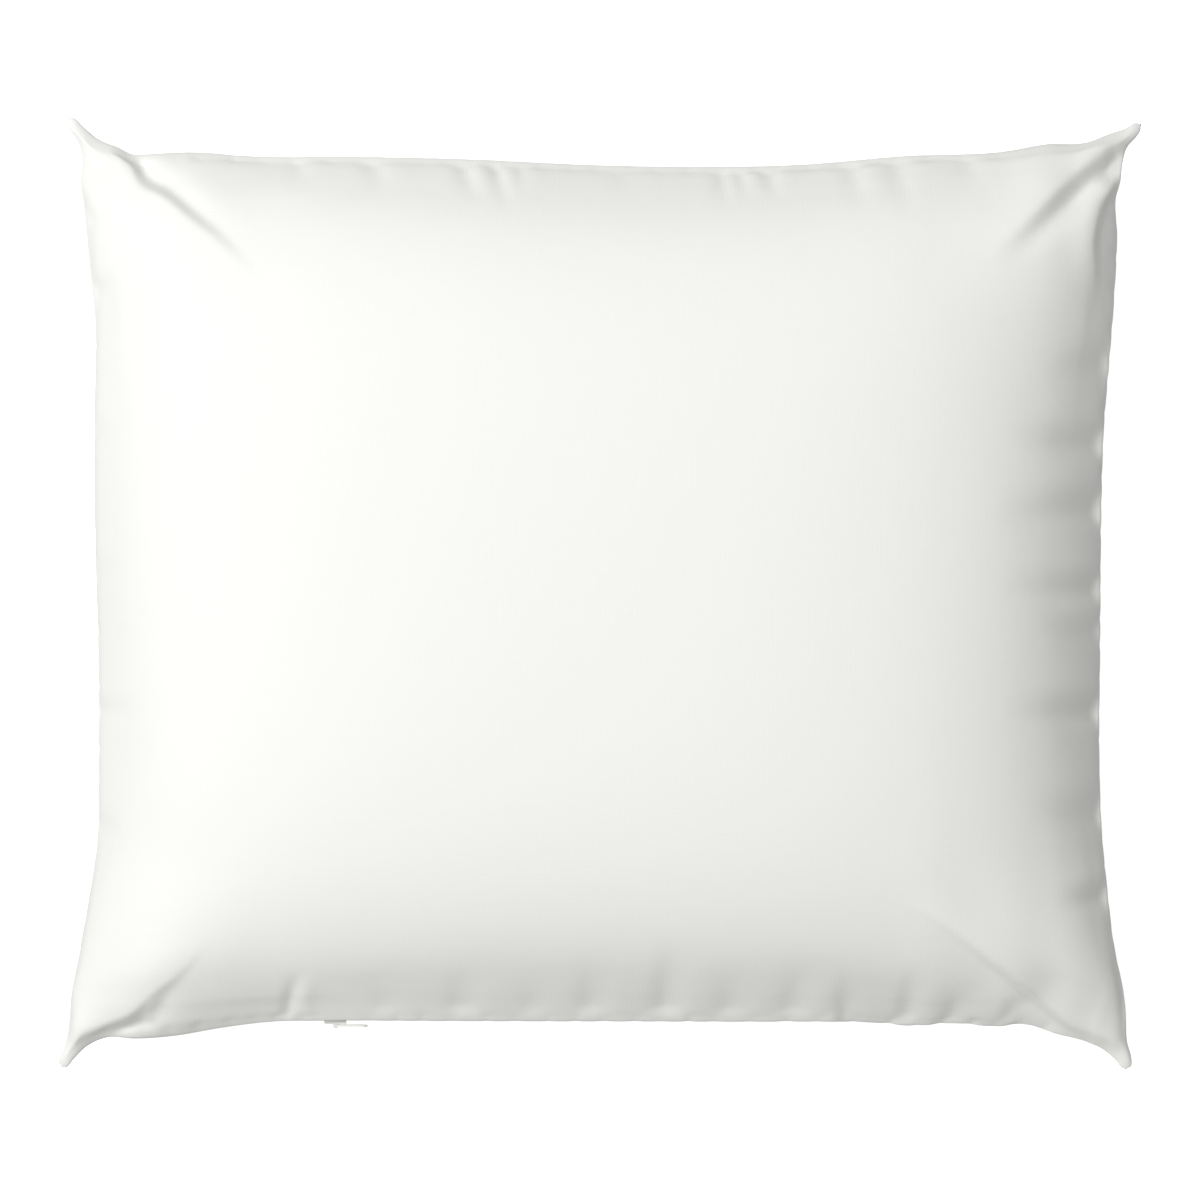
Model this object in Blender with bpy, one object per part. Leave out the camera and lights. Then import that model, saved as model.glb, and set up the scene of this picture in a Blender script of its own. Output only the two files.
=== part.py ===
"""A bed pillow: a fibre-filled inner pillow in a plain cotton case with a concealed zip.

The pillow lies on its back. X runs along its long edges, Y along its short ones and Z up, and the
origin is on the surface that it lies on, under its middle. The zip is in the long edge at -Y.

Every layer of cloth is a height above or below the seam plane, over one shared grid. The case sets
the grid and the heights, and each layer inside keeps a named clearance to the one around it.
"""

import math

import bmesh
import bpy
import numpy as np
from mathutils import Matrix

# Clearances
GAP = 0.0003  # between two pieces that touch
SEAM_HALF = 0.00015  # from the seam plane to either panel's edge
SLOT_HALF = 0.0007  # the same along the zip, where the slider's web passes

# The case as it lies filled
CASE_WIDTH = 0.403  # X, between the middles of the short edges
CASE_DEPTH = 0.343  # Y, between the middles of the long edges
CROWN_FRONT = 0.060  # rise of the upper panel over the seam plane
CROWN_BACK = 0.046  # drop of the lower panel, which lies flat
CASE_CLOTH = 0.0008
BOW = 0.0055  # how far each edge bows out towards its corners
EAR_WIDTH = 0.0085  # further reach of a corner's ear along X
EAR_DEPTH = 0.014  # further reach of a corner's ear along Y

# Shape of the bulge and of the corners, as shares of a half side
FLATNESS = 3.0
ROUNDNESS = 0.6
RESTING_SHARE = 0.82  # the lower panel is flat where the bulge passes this share of its crown
BOW_FROM_DEPTH = 0.60
BOW_TO = 0.95
EAR_FROM = 0.86
EAR_SPREAD = 4  # how fast a corner's reach dies away towards the middle
STEEPEST = 3.5  # limit on how far a sloping layer is thickened along Z

# Distances in from the case's edge
FIRST_FOLD = 0.003
SECOND_FOLD = 0.007
INNER_INSET = 0.012  # the inner pillow's own seam
INNER_SHOULDER = 0.016
FILL_INSET = 0.020

# The inner pillow
TICKING_CLOTH = 0.0006
TICKING_EDGE = 0.0024
FILL_EDGE = 0.008  # half height of the filling at its rim

# Overlocked seam allowances, turned to the inside
OVERLOCK_HALF = 0.0004
CASE_OVERLOCK = (0.0007, 0.0045, 0.024)  # outer edge, inner edge, corner radius, from the case's edge
INNER_OVERLOCK = (0.0006, 0.0032, 0.010)  # the same, from the ticking's edge
OVERLOCK_END = 0.004  # between the case's overlock and either end of the tapes

# Concealed zip
ZIP_X = -0.012
COIL_LENGTH = 0.200
COIL_RADIUS = 0.001
COIL_INSET = 0.0026
TAPE_TAIL = 0.006
TAPE_CLOTH = 0.0005
TAPE_FROM = 0.0005  # along the panel's wall, up from its edge
TAPE_TO = 0.0080
STOP_SIZE = (0.0025, 0.0016, 0.0046)
STOP_INSET = 0.0028

SLIDER_LENGTH = 0.009
WEB_HALF = 0.0004
WEB_REACH = 0.0006  # past the case's edge
FLANGE_INNER = 0.0030
FLANGE_OUTER = 0.0038
FLANGE_INSET = 0.0026
PLATE_INSET = 0.0039
PLATE_OUTER = 0.0048
LUG_RADIUS = 0.00105
LUG_HOLE = 0.00055
PIN_REACH = 0.0012  # the puller's axis, past the case's edge

PULLER_LENGTH = 0.013
PULLER_HALF = 0.0019
PULLER_END = 0.0023
PULLER_THICK = 0.0007
PIN_RADIUS = 0.00035
FORK_HALF = 0.0007
FORK_DEPTH = 0.0016
FORK_HEEL = 0.0006

# Care label, sewn into the inner pillow's seam and folded up against it
LABEL_X = 0.050
LABEL_WIDTH = 0.025
LABEL_CLOTH = 0.0004
LABEL_FROM = 0.002
LABEL_TO = 0.014

# Grid cells
CELLS_LEFT = 2
CELLS_ZIP = 7
CELLS_RIGHT = 3
CELLS_DEPTH = 10
CORNER_STEPS = 5

HALF_W = CASE_WIDTH / 2
HALF_D = CASE_DEPTH / 2
SEAM_Z = CROWN_BACK + CASE_CLOTH + SEAM_HALF
TAPE_HALF = COIL_LENGTH / 2 + TAPE_TAIL
BOW_FROM_WIDTH = (abs(ZIP_X) + TAPE_HALF + OVERLOCK_END) / HALF_W
PIN_Y = -HALF_D - PIN_REACH
SLIDER_X = ZIP_X - COIL_LENGTH / 2 + GAP + SLIDER_LENGTH / 2

# Rings of grid lines that each layer leaves out around its edge
INNER_RINGS = 3
SHOULDER_RING = 4
FILL_RINGS = 5


def clear_scene():
    for old in list(bpy.data.objects):
        bpy.data.objects.remove(old)


def make_material(name, colour, roughness, metallic=0.0):
    material = bpy.data.materials.new(name)
    material.use_nodes = True
    shader = material.node_tree.nodes["Principled BSDF"]
    shader.inputs["Base Color"].default_value = (*colour, 1.0)
    shader.inputs["Roughness"].default_value = roughness
    shader.inputs["Metallic"].default_value = metallic
    return material


def add_object(name, mesh, material, smooth=False):
    mesh.materials.append(material)
    if smooth:
        mesh.shade_smooth()
        mesh.set_sharp_from_angle(angle=math.radians(40))
    thing = bpy.data.objects.new(name, mesh)
    bpy.context.scene.collection.objects.link(thing)
    return thing


def mesh_from(name, vertices, faces):
    """A mesh with its faces turned outwards."""
    mesh = bpy.data.meshes.new(name)
    mesh.from_pydata([tuple(map(float, v)) for v in vertices], [], faces)
    work = bmesh.new()
    work.from_mesh(mesh)
    bmesh.ops.recalc_face_normals(work, faces=work.faces)
    work.to_mesh(mesh)
    work.free()
    return mesh


# Plan of the case


def corner_reach(share, bow_from, bow, ear):
    """How far an edge lies outside its own middle, at a share of the way to the corner."""
    rise = np.clip((share - bow_from) / (BOW_TO - bow_from), 0, 1)
    tip = np.clip((share - EAR_FROM) / (1 - EAR_FROM), 0, 1)
    return bow * rise * rise * (3 - 2 * rise) + ear * tip * tip


def plan(x, y):
    """Where a point of the flat grid lies once the corners are drawn out into ears."""
    u = np.abs(x) / HALF_W
    v = np.abs(y) / HALF_D
    out_x = u**EAR_SPREAD * corner_reach(v, BOW_FROM_DEPTH, BOW, EAR_WIDTH)
    out_y = v**EAR_SPREAD * corner_reach(u, BOW_FROM_WIDTH, BOW, EAR_DEPTH)
    return x + np.sign(x) * out_x, y + np.sign(y) * out_y


def grid_lines(half, middle):
    """Grid lines from edge to edge: a ring for each named inset, and the given lines between."""
    rings = [half - d for d in (0, FIRST_FOLD, SECOND_FOLD, INNER_INSET, INNER_SHOULDER)]
    return np.array([-r for r in rings] + list(middle) + rings[::-1])


def width_lines():
    end = HALF_W - FILL_INSET
    low = ZIP_X - TAPE_HALF
    high = ZIP_X + TAPE_HALF
    left = np.linspace(-end, low, CELLS_LEFT + 1)
    along_zip = np.linspace(low, high, CELLS_ZIP + 1)
    right = np.linspace(high, end, CELLS_RIGHT + 1)
    return grid_lines(HALF_W, [*left[:-1], *along_zip[:-1], *right])


def depth_lines():
    end = HALF_D - FILL_INSET
    return grid_lines(HALF_D, np.linspace(-end, end, CELLS_DEPTH + 1))


# Heights of the layers, measured from the seam plane


def bulge(x, y):
    """Share of the crown's height: 0 at the edges, 1 in the middle."""
    u = np.abs(x) / HALF_W
    v = np.abs(y) / HALF_D
    return ((1 - u**FLATNESS) * (1 - v**FLATNESS)) ** ROUNDNESS


def edge_heights(x, y):
    """The seam's half gap, which opens to the zip's slot between the ends of its tapes."""
    on_zip = (np.abs(x - ZIP_X) < TAPE_HALF + GAP) & (y < 0)
    share = np.clip((np.abs(y) - (HALF_D - INNER_INSET)) / INNER_INSET, 0, 1)
    return SEAM_HALF + np.where(on_zip, (SLOT_HALF - SEAM_HALF) * share, 0)


def steepness(heights, px, py):
    """How much longer a layer of even thickness is along Z than along its own normal."""
    slope_x = np.gradient(heights, axis=0) / np.gradient(px, axis=0)
    slope_y = np.gradient(heights, axis=1) / np.gradient(py, axis=1)
    return np.minimum(np.sqrt(1 + slope_x**2 + slope_y**2), STEEPEST)


def with_rim(heights, rings, rim):
    """The heights inside so many rings, with those along the new rim replaced."""
    inner = heights[rings:-rings, rings:-rings].copy()
    inner[0, :] = inner[-1, :] = rim
    inner[:, 0] = inner[:, -1] = rim
    return inner


def layer_heights(share, crown, grid):
    """The faces of each layer on one side of the seam plane, from the outside in."""
    x, y, px, py = grid
    lining = edge_heights(x, y) + crown * share
    steep = steepness(lining, px, py)
    ticking_out = lining - GAP * steep
    ticking_in = ticking_out - TICKING_CLOTH * steep
    filling = ticking_in - GAP * steep
    return {
        "case": (lining + CASE_CLOTH * steep, lining),
        "ticking": (
            with_rim(ticking_out, INNER_RINGS, SEAM_HALF + TICKING_EDGE),
            with_rim(ticking_in, INNER_RINGS, SEAM_HALF),
        ),
        "filling": with_rim(filling, FILL_RINGS, FILL_EDGE),
        "shoulder": ticking_out[:, SHOULDER_RING],
        "wall": lining[:, 1],
    }


# Closed bodies from the layers


def cell_triangles(i, j, rows, towards_corner):
    """Two triangles over a grid cell, split along the diagonal that points at its own corner."""
    a, b, c, d = (i * rows + j, (i + 1) * rows + j, (i + 1) * rows + j + 1, i * rows + j + 1)
    if towards_corner:
        return [(a, b, c), (a, c, d)]
    return [(a, b, d), (b, c, d)]


def layer_body(name, material, grid, rings, upper, lower):
    """A closed body between two heights over the grid inside so many rings."""
    inside = slice(rings, -rings) if rings else slice(None)
    x, y, px, py = (values[inside, inside] for values in grid)
    columns, rows = px.shape
    top = np.stack([px, py, SEAM_Z + upper], axis=-1).reshape(-1, 3)
    bottom = np.stack([px, py, SEAM_Z + lower], axis=-1).reshape(-1, 3)
    count = len(top)
    faces = []
    for i in range(columns - 1):
        for j in range(rows - 1):
            middle = (x[i, j] + x[i + 1, j]) * (y[i, j] + y[i, j + 1])
            for face in cell_triangles(i, j, rows, middle > 0):
                faces.append(face)
                faces.append(tuple(k + count for k in face[::-1]))
    rim = [i * rows for i in range(columns)]
    rim += [(columns - 1) * rows + j for j in range(1, rows)]
    rim += [i * rows + rows - 1 for i in range(columns - 2, -1, -1)]
    rim += list(range(rows - 2, 0, -1))
    for here, after in zip(rim, rim[1:] + rim[:1]):
        faces.append((here, here + count, after + count))
        faces.append((here, after + count, after))
    mesh = mesh_from(name, np.concatenate([top, bottom]), faces)
    return add_object(name, mesh, material, smooth=True)


def swept_body(name, material, sections, closed=False):
    """A closed body through a run of sections with four corners each."""
    stations = len(sections)
    faces = []
    for k in range(stations if closed else stations - 1):
        here = 4 * k
        after = 4 * ((k + 1) % stations)
        for c in range(4):
            d = (c + 1) % 4
            faces.append((here + c, here + d, after + d, after + c))
    if not closed:
        last = 4 * (stations - 1)
        faces.append((3, 2, 1, 0))
        faces.append((last, last + 1, last + 2, last + 3))
    vertices = [corner for section in sections for corner in section]
    return add_object(name, mesh_from(name, vertices, faces), material)


# Seam allowances


def corner_points(centre_x, centre_y, turn, first):
    """Points round a quarter circle of the flat grid, from the first angle in degrees."""
    angles = [math.radians(first + 90 * k / CORNER_STEPS) for k in range(CORNER_STEPS + 1)]
    return [(centre_x + turn * math.cos(a), centre_y + turn * math.sin(a)) for a in angles]


def edge_path(inset, radius, lines):
    """The flat grid's points round a rectangle with round corners, anticlockwise: those along
    the zip's edge, and then the rest. The sides turn where the panels' own grid lines do."""
    half_w = HALF_W - radius
    half_d = HALF_D - radius
    turn = radius - inset
    x = HALF_W - inset
    y = HALF_D - inset
    across = [line for line in lines[0] if abs(line) < half_w]
    up = [line for line in lines[1] if abs(line) < half_d]
    rest = [
        *corner_points(half_w, -half_d, turn, -90),
        *[(x, line) for line in up],
        *corner_points(half_w, half_d, turn, 0),
        *[(line, y) for line in reversed(across)],
        *corner_points(-half_w, half_d, turn, 90),
        *[(-x, line) for line in reversed(up)],
        *corner_points(-half_w, -half_d, turn, 180),
    ]
    return [(line, -y) for line in across], rest


def band_sections(outer, inner):
    """Sections of a flat band between two paths, in the seam plane."""
    sections = []
    for near, far in zip(outer, inner):
        ax, ay = plan(*near)
        bx, by = plan(*far)
        low = SEAM_Z - OVERLOCK_HALF
        high = SEAM_Z + OVERLOCK_HALF
        sections.append(((ax, ay, low), (ax, ay, high), (bx, by, high), (bx, by, low)))
    return sections


def make_case_overlock(material, lines):
    """The case's allowance runs the long way round, from one end of the zip to the other."""
    outer_inset, inner_inset, radius = CASE_OVERLOCK
    start = ZIP_X + TAPE_HALF + OVERLOCK_END
    end = ZIP_X - TAPE_HALF - OVERLOCK_END
    paths = []
    for inset in (outer_inset, inner_inset):
        y = -HALF_D + inset
        near_zip, rest = edge_path(inset, radius, lines)
        right = [p for p in near_zip if p[0] > start]
        left = [p for p in near_zip if p[0] < end]
        paths.append([(start, y), *right, *rest, *left, (end, y)])
    return swept_body("case_overlock_seam", material, band_sections(*paths))


def make_inner_overlock(material, lines):
    outer_inset, inner_inset, radius = INNER_OVERLOCK
    paths = []
    for inset in (outer_inset, inner_inset):
        near_zip, rest = edge_path(INNER_INSET + inset, INNER_INSET + radius, lines)
        paths.append(near_zip + rest)
    return swept_body("ticking_overlock_seam", material, band_sections(*paths), closed=True)


# Strips that lie along a sloping wall of cloth, near the zip


def strip_section(x, foot, head, near, far, start, end, side):
    """A strip's four corners at one X. Foot and head are (distance in from the edge, height)."""
    run = head[0] - foot[0]
    rise = head[1] - foot[1]
    length = math.hypot(run, rise)
    along = (run / length, rise / length)
    across = (along[1], -along[0])
    corners = []
    for distance, offset in ((start, near), (end, near), (end, far), (start, far)):
        inset = foot[0] + along[0] * distance + across[0] * offset
        height = foot[1] + along[1] * distance + across[1] * offset
        corners.append((x, -HALF_D + inset, SEAM_Z + side * height))
    return corners


def make_tape(name, material, lines, wall, side):
    """A zip tape, sewn flat against the inner face of its panel."""
    ends = (ZIP_X - TAPE_HALF, ZIP_X + TAPE_HALF)
    stations = [x for x in lines if ends[0] < x < ends[1]]
    sections = []
    for x in (ends[0], *stations, ends[1]):
        head = (FIRST_FOLD, np.interp(x, lines, wall))
        limits = (GAP, GAP + TAPE_CLOTH, TAPE_FROM, TAPE_TO, side)
        sections.append(strip_section(x, (0, SLOT_HALF), head, *limits))
    return swept_body(name, material, sections)


def make_label(material, lines, shoulder):
    """A blank care label, folded up against the inner pillow's side."""
    foot = (INNER_INSET, SEAM_HALF + TICKING_EDGE)
    sections = []
    for x in (LABEL_X - LABEL_WIDTH / 2, LABEL_X, LABEL_X + LABEL_WIDTH / 2):
        head = (INNER_SHOULDER, np.interp(x, lines, shoulder))
        limits = (-GAP - LABEL_CLOTH, -GAP, LABEL_FROM, LABEL_TO, 1)
        sections.append(strip_section(x, foot, head, *limits))
    return swept_body("care_label", material, sections)


# Zip hardware


def box_object(name, material, centre, size):
    mesh = bpy.data.meshes.new(name)
    work = bmesh.new()
    bmesh.ops.create_cube(work, size=1, matrix=Matrix.Diagonal((*size, 1)))
    work.to_mesh(mesh)
    work.free()
    thing = add_object(name, mesh, material)
    thing.location = centre
    return thing


def cylinder_mesh(name, radius, length, axis, sides):
    turn = Matrix.Rotation(math.radians(90), 4, "Y") if axis == "X" else Matrix.Identity(4)
    mesh = bpy.data.meshes.new(name)
    work = bmesh.new()
    size = {"segments": sides, "radius1": radius, "radius2": radius, "depth": length}
    bmesh.ops.create_cone(work, cap_ends=True, matrix=turn, **size)
    work.to_mesh(mesh)
    work.free()
    return mesh


def extruded_mesh(name, outline, low, high, axis):
    """A flat outline drawn out along X, or along Y, from low to high."""
    points = []
    for level in (low, high):
        for a, b in outline:
            points.append((level, a, b) if axis == "X" else (a, level, b))
    count = len(outline)
    faces = [tuple(range(count)), tuple(range(2 * count - 1, count - 1, -1))]
    for k in range(count):
        after = (k + 1) % count
        faces.append((k, after, after + count, k + count))
    return mesh_from(name, points, faces)


def combine(thing, other, operation):
    """Join another shape to this object, or cut it away, and keep the other as a guide only."""
    other.hide_render = True
    other.display_type = "WIRE"
    step = thing.modifiers.new(operation.title(), "BOOLEAN")
    step.operation = operation
    step.object = other
    step.solver = "EXACT"


def make_coil(name, material, side):
    mesh = cylinder_mesh(name, COIL_RADIUS, COIL_LENGTH, "X", 12)
    coil = add_object(name, mesh, material, smooth=True)
    coil.location = (ZIP_X, -HALF_D + COIL_INSET, SEAM_Z + side * (SLOT_HALF + COIL_RADIUS))
    return coil


def make_stop(name, material, side):
    offset = COIL_LENGTH / 2 + GAP + STOP_SIZE[0] / 2
    centre = (ZIP_X + side * offset, -HALF_D + STOP_INSET, SEAM_Z)
    return box_object(name, material, centre, STOP_SIZE)


def slider_outline():
    """The slider's section: a plate behind the coils, a flange beside each and a web between."""
    half = [
        (-WEB_REACH, WEB_HALF),
        (PLATE_INSET, WEB_HALF),
        (PLATE_INSET, FLANGE_INNER),
        (FLANGE_INSET, FLANGE_INNER),
        (FLANGE_INSET, FLANGE_OUTER),
        (PLATE_OUTER, FLANGE_OUTER),
    ]
    return half + [(inset, -height) for inset, height in reversed(half)]


def make_slider(material):
    """The slider's origin is on the puller's axis, and the slider runs along X."""
    outline = [(inset + PIN_REACH, height) for inset, height in slider_outline()]
    half = SLIDER_LENGTH / 2
    mesh = extruded_mesh("zip_slider", outline, -half, half, "X")
    slider = add_object("zip_slider", mesh, material)
    slider.location = (SLIDER_X, PIN_Y, SEAM_Z)
    lug_mesh = cylinder_mesh("slider_lug", LUG_RADIUS, 2 * WEB_HALF, "Z", 24)
    hole_mesh = cylinder_mesh("slider_hole", LUG_HOLE, 4 * WEB_HALF, "Z", 24)
    for mesh, operation in ((lug_mesh, "UNION"), (hole_mesh, "DIFFERENCE")):
        guide = add_object(mesh.name, mesh, material)
        guide.location = slider.location
        combine(slider, guide, operation)
    return slider


def puller_outline():
    """A fork over the lug, widening to a round-ended tab."""
    upper = [(-FORK_HEEL, FORK_HALF), (-FORK_HEEL, PULLER_HALF), (FORK_DEPTH, PULLER_HALF)]
    end = PULLER_LENGTH - PULLER_END
    for step in range(7):
        angle = math.radians(90 - 30 * step)
        upper.append((end + PULLER_END * math.cos(angle), PULLER_END * math.sin(angle)))
    lower = [(FORK_DEPTH, -PULLER_HALF), (-FORK_HEEL, -PULLER_HALF), (-FORK_HEEL, -FORK_HALF)]
    return upper + lower + [(FORK_DEPTH, -FORK_HALF), (FORK_DEPTH, FORK_HALF)]


def make_puller(material):
    """The puller's origin is on its hinge axis, through the slider's lug."""
    half = PULLER_THICK / 2
    mesh = extruded_mesh("zip_puller", puller_outline(), -half, half, "Y")
    puller = add_object("zip_puller", mesh, material)
    puller.location = (SLIDER_X, PIN_Y, SEAM_Z)
    pin_mesh = cylinder_mesh("puller_pin", PIN_RADIUS, 2 * PULLER_HALF - GAP, "Z", 16)
    pin = add_object("puller_pin", pin_mesh, material)
    pin.location = puller.location
    combine(puller, pin, "UNION")
    return puller


def main():
    clear_scene()
    percale = make_material("cotton_percale", (0.90, 0.90, 0.88), 0.85)
    ticking = make_material("cotton_ticking", (0.86, 0.85, 0.82), 0.85)
    fibre = make_material("polyester_fibre", (0.93, 0.93, 0.93), 0.95)
    thread = make_material("polyester_thread", (0.92, 0.92, 0.91), 0.60)
    ribbon = make_material("satin_ribbon", (0.93, 0.93, 0.92), 0.45)
    nylon = make_material("nylon_coil", (0.92, 0.92, 0.91), 0.35)
    lacquer = make_material("white_lacquer", (0.90, 0.90, 0.89), 0.30)

    columns = width_lines()
    rows = depth_lines()
    x, y = np.meshgrid(columns, rows, indexing="ij")
    grid = (x, y, *plan(x, y))
    share = bulge(x, y)
    front = layer_heights(share, CROWN_FRONT, grid)
    resting = np.minimum(share, RESTING_SHARE) / RESTING_SHARE
    back = layer_heights(resting, CROWN_BACK, grid)

    outer, lining = front["case"]
    layer_body("case_front_panel", percale, grid, 0, outer, lining)
    outer, lining = back["case"]
    layer_body("case_back_panel", percale, grid, 0, -lining, -np.minimum(outer, SEAM_Z))
    outer, lining = front["ticking"]
    layer_body("ticking_front", ticking, grid, INNER_RINGS, outer, lining)
    outer, lining = back["ticking"]
    layer_body("ticking_back", ticking, grid, INNER_RINGS, -lining, -outer)
    layer_body("fill_core", fibre, grid, FILL_RINGS, front["filling"], -back["filling"])

    make_case_overlock(thread, (columns, rows))
    make_inner_overlock(thread, (columns, rows))
    make_label(ribbon, columns, front["shoulder"])
    make_tape("zip_tape_front", ribbon, columns, front["wall"], 1)
    make_tape("zip_tape_back", ribbon, columns, back["wall"], -1)
    make_coil("zip_coil_front", nylon, 1)
    make_coil("zip_coil_back", nylon, -1)
    make_stop("zip_stop_left", nylon, -1)
    make_stop("zip_stop_right", nylon, 1)
    make_slider(lacquer)
    make_puller(lacquer)


main()
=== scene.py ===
"""Bed pillow: a white cotton case with a concealed zip, over a filled inner pillow.

Laid out as an add-on: sizes and colours are properties, each piece or group of like
pieces has an operator, and a panel in the 3D view's sidebar lists them.
"""

import math
from functools import lru_cache

import bpy
import numpy as np
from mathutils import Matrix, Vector


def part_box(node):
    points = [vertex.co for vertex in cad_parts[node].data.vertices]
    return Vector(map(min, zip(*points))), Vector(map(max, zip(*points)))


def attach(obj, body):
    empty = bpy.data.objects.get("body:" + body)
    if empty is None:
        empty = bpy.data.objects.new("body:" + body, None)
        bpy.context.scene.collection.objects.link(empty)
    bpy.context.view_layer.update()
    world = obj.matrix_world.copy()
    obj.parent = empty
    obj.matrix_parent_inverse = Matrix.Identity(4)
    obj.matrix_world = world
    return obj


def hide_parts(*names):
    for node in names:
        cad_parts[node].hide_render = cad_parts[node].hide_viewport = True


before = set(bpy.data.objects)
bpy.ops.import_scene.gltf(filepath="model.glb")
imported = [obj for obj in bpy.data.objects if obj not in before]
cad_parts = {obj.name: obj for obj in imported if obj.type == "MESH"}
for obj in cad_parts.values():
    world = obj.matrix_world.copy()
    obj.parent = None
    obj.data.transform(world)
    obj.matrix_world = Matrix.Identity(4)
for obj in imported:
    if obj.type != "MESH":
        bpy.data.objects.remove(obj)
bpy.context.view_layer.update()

bl_info = {
    "name": "Bed Pillow",
    "version": (1, 0, 0),
    "blender": (4, 5, 0),
    "location": "View3D > Sidebar > Pillow",
    "description": "Builds a bed pillow in a zipped cotton case",
    "category": "Object",
}

MM = 0.001
FRONT = 1
BACK = -1

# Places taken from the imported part
TOP_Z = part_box("case_front_panel")[1].z
SEAM_Z = (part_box("case_front_panel")[0].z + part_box("case_back_panel")[1].z) / 2
ZIP_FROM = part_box("zip_tape_front")[0].x
ZIP_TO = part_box("zip_tape_front")[1].x
COIL_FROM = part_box("zip_coil_front")[0].x
COIL_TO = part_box("zip_coil_front")[1].x
COIL_Y = (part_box("zip_coil_front")[0].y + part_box("zip_coil_front")[1].y) / 2
COIL_RADIUS = (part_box("zip_coil_front")[1].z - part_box("zip_coil_front")[0].z) / 2
COIL_LIFT = (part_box("zip_coil_front")[0].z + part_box("zip_coil_front")[1].z) / 2 - SEAM_Z
LABEL_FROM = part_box("care_label")[0].x
LABEL_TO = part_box("care_label")[1].x

# The filled case's seam in plan, in millimetres, side by side from corner tip to corner tip.
# Each corner ends in a blunt horn a few millimetres wide.
SEAM_LEFT = (
    (-217.8, -190.6), (-219.8, -187.4), (-218.4, -184), (-216.4, -178), (-215, -169),
    (-213.6, -158), (-211, -144), (-207, -122), (-203.4, -98), (-202.7, -70), (-202.8, -20),
    (-203.8, 20), (-204.1, 60), (-203.6, 90), (-203.6, 108), (-205.8, 130), (-208.2, 154),
    (-209.6, 167), (-209.2, 175), (-210.8, 181.4), (-213.6, 185.6), (-216, 189), (-216, 191.6),
    (-214.4, 193.3),
)
SEAM_RIGHT = (
    (211.2, -191.3), (214, -189.6), (214.2, -186.6), (212.3, -179), (211.6, -169),
    (210, -157), (206.6, -140), (203.8, -118), (201.6, -96), (200.4, -66), (200.6, -20),
    (200.8, 30), (201.8, 68), (203.8, 92), (205.4, 112), (206.6, 132), (207, 146),
    (206.4, 158), (208.6, 166), (209.8, 174), (211.6, 179.6), (215, 183.4), (217.1, 187),
    (216.9, 189.8),
)
SEAM_BOTTOM = (
    (-217.8, -190.6), (-215, -190.6), (-212.4, -187.6), (-206.4, -181.8), (-199, -178.6),
    (-188, -179), (-172, -177.8), (-152, -174.4), (-132, -172), (-116, -171.5),
    (-60, -171.5), (0, -171.5), (60, -171.5), (92, -171.5), (108, -171.9), (124, -173.2),
    (140, -172.2), (157, -173.6), (170, -173), (182, -176.8), (194, -180), (201, -183.2),
    (206.4, -187.8), (208.8, -190.8), (211.2, -191.3),
)
SEAM_TOP = (
    (-214.4, 193.3), (-211.6, 192.8), (-207.6, 189.2), (-201, 183.8), (-194, 181),
    (-187.6, 177.9), (-180, 178.1), (-164, 178.7), (-140, 177), (-104, 176.9), (-52, 175.8),
    (-6, 173.7), (34, 172.9), (80, 173.8), (122, 177.3), (162, 179.2), (178, 182),
    (194, 182.8), (203, 186.2), (210, 188.6), (214, 190.8), (216.9, 189.8),
)

# Folds of the front panel: their line in plan, height, widths to the left and the right of
# the line as it runs, and the shares of it over which they rise and fade. Millimetres.
FRONT_FOLDS = (
    # top left corner: a flap with a hollow along its upper edge
    (((-199, 180), (-190, 174), (-184, 164), (-174, 158), (-163, 149), (-153, 141), (-131, 119)),
     3.2, 1.8, 14, 0.12, 0.75),
    (((-196, 183), (-187, 177), (-181, 167), (-171, 161), (-160, 152), (-150, 144), (-134, 128)),
     -2.6, 6, 1.6, 0.08, 0.8),
    # top right corner: a ridge over a broad valley, then a flap that hides part of the side
    (((211, 186), (196, 176), (181, 162.6), (166, 148), (148, 131)),
     3.0, 4.5, 12, 0.06, 0.6),
    (((211, 178), (205, 171), (196, 165), (187, 157), (177, 148), (167, 139), (156, 131)),
     -4.4, 5, 4.6, 0.06, 0.6),
    (((206, 172), (203.4, 163), (200, 158), (197, 151), (195, 141), (195.6, 131), (195.4, 116)),
     3.0, 2.0, 8, 0.2, 0.5),
    # bottom left corner: a flap with a hollow along its lower edge, and two short folds
    (((-214, -184), (-208, -178), (-198, -171), (-189, -167), (-179, -158), (-169, -150),
      (-155, -134)),
     3.4, 14, 2.0, 0.08, 0.7),
    (((-204, -182), (-194, -175), (-185, -170.5), (-175, -161.5), (-164, -152)),
     -2.8, 1.8, 6, 0.12, 0.7),
    (((-183, -170), (-179, -163), (-174, -157)), 1.2, 2.0, 2.4, 0.1, 0.6),
    (((-126.6, -171), (-125, -163), (-120.6, -148)), -1.9, 2.6, 2.2, 0.1, 0.6),
    (((-121.6, -171), (-119, -161), (-114.6, -148)), 1.0, 3.0, 3.6, 0.1, 0.6),
    # bottom right corner: a light ridge down to the horn, and a fold along its right side
    (((118, -118), (139, -132), (158, -147), (176.5, -162), (195, -178), (207, -187)),
     2.4, 9, 1.8, 0.35, 0.05),
    (((136, -134.5), (155.5, -149.5), (174, -164.5), (192, -180)),
     -1.5, 1.6, 6, 0.4, 0.15),
    (((204, -142), (208, -154), (210, -168), (211, -182)), -1.6, 1.4, 1.8, 0.3, 0.2),
)

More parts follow.
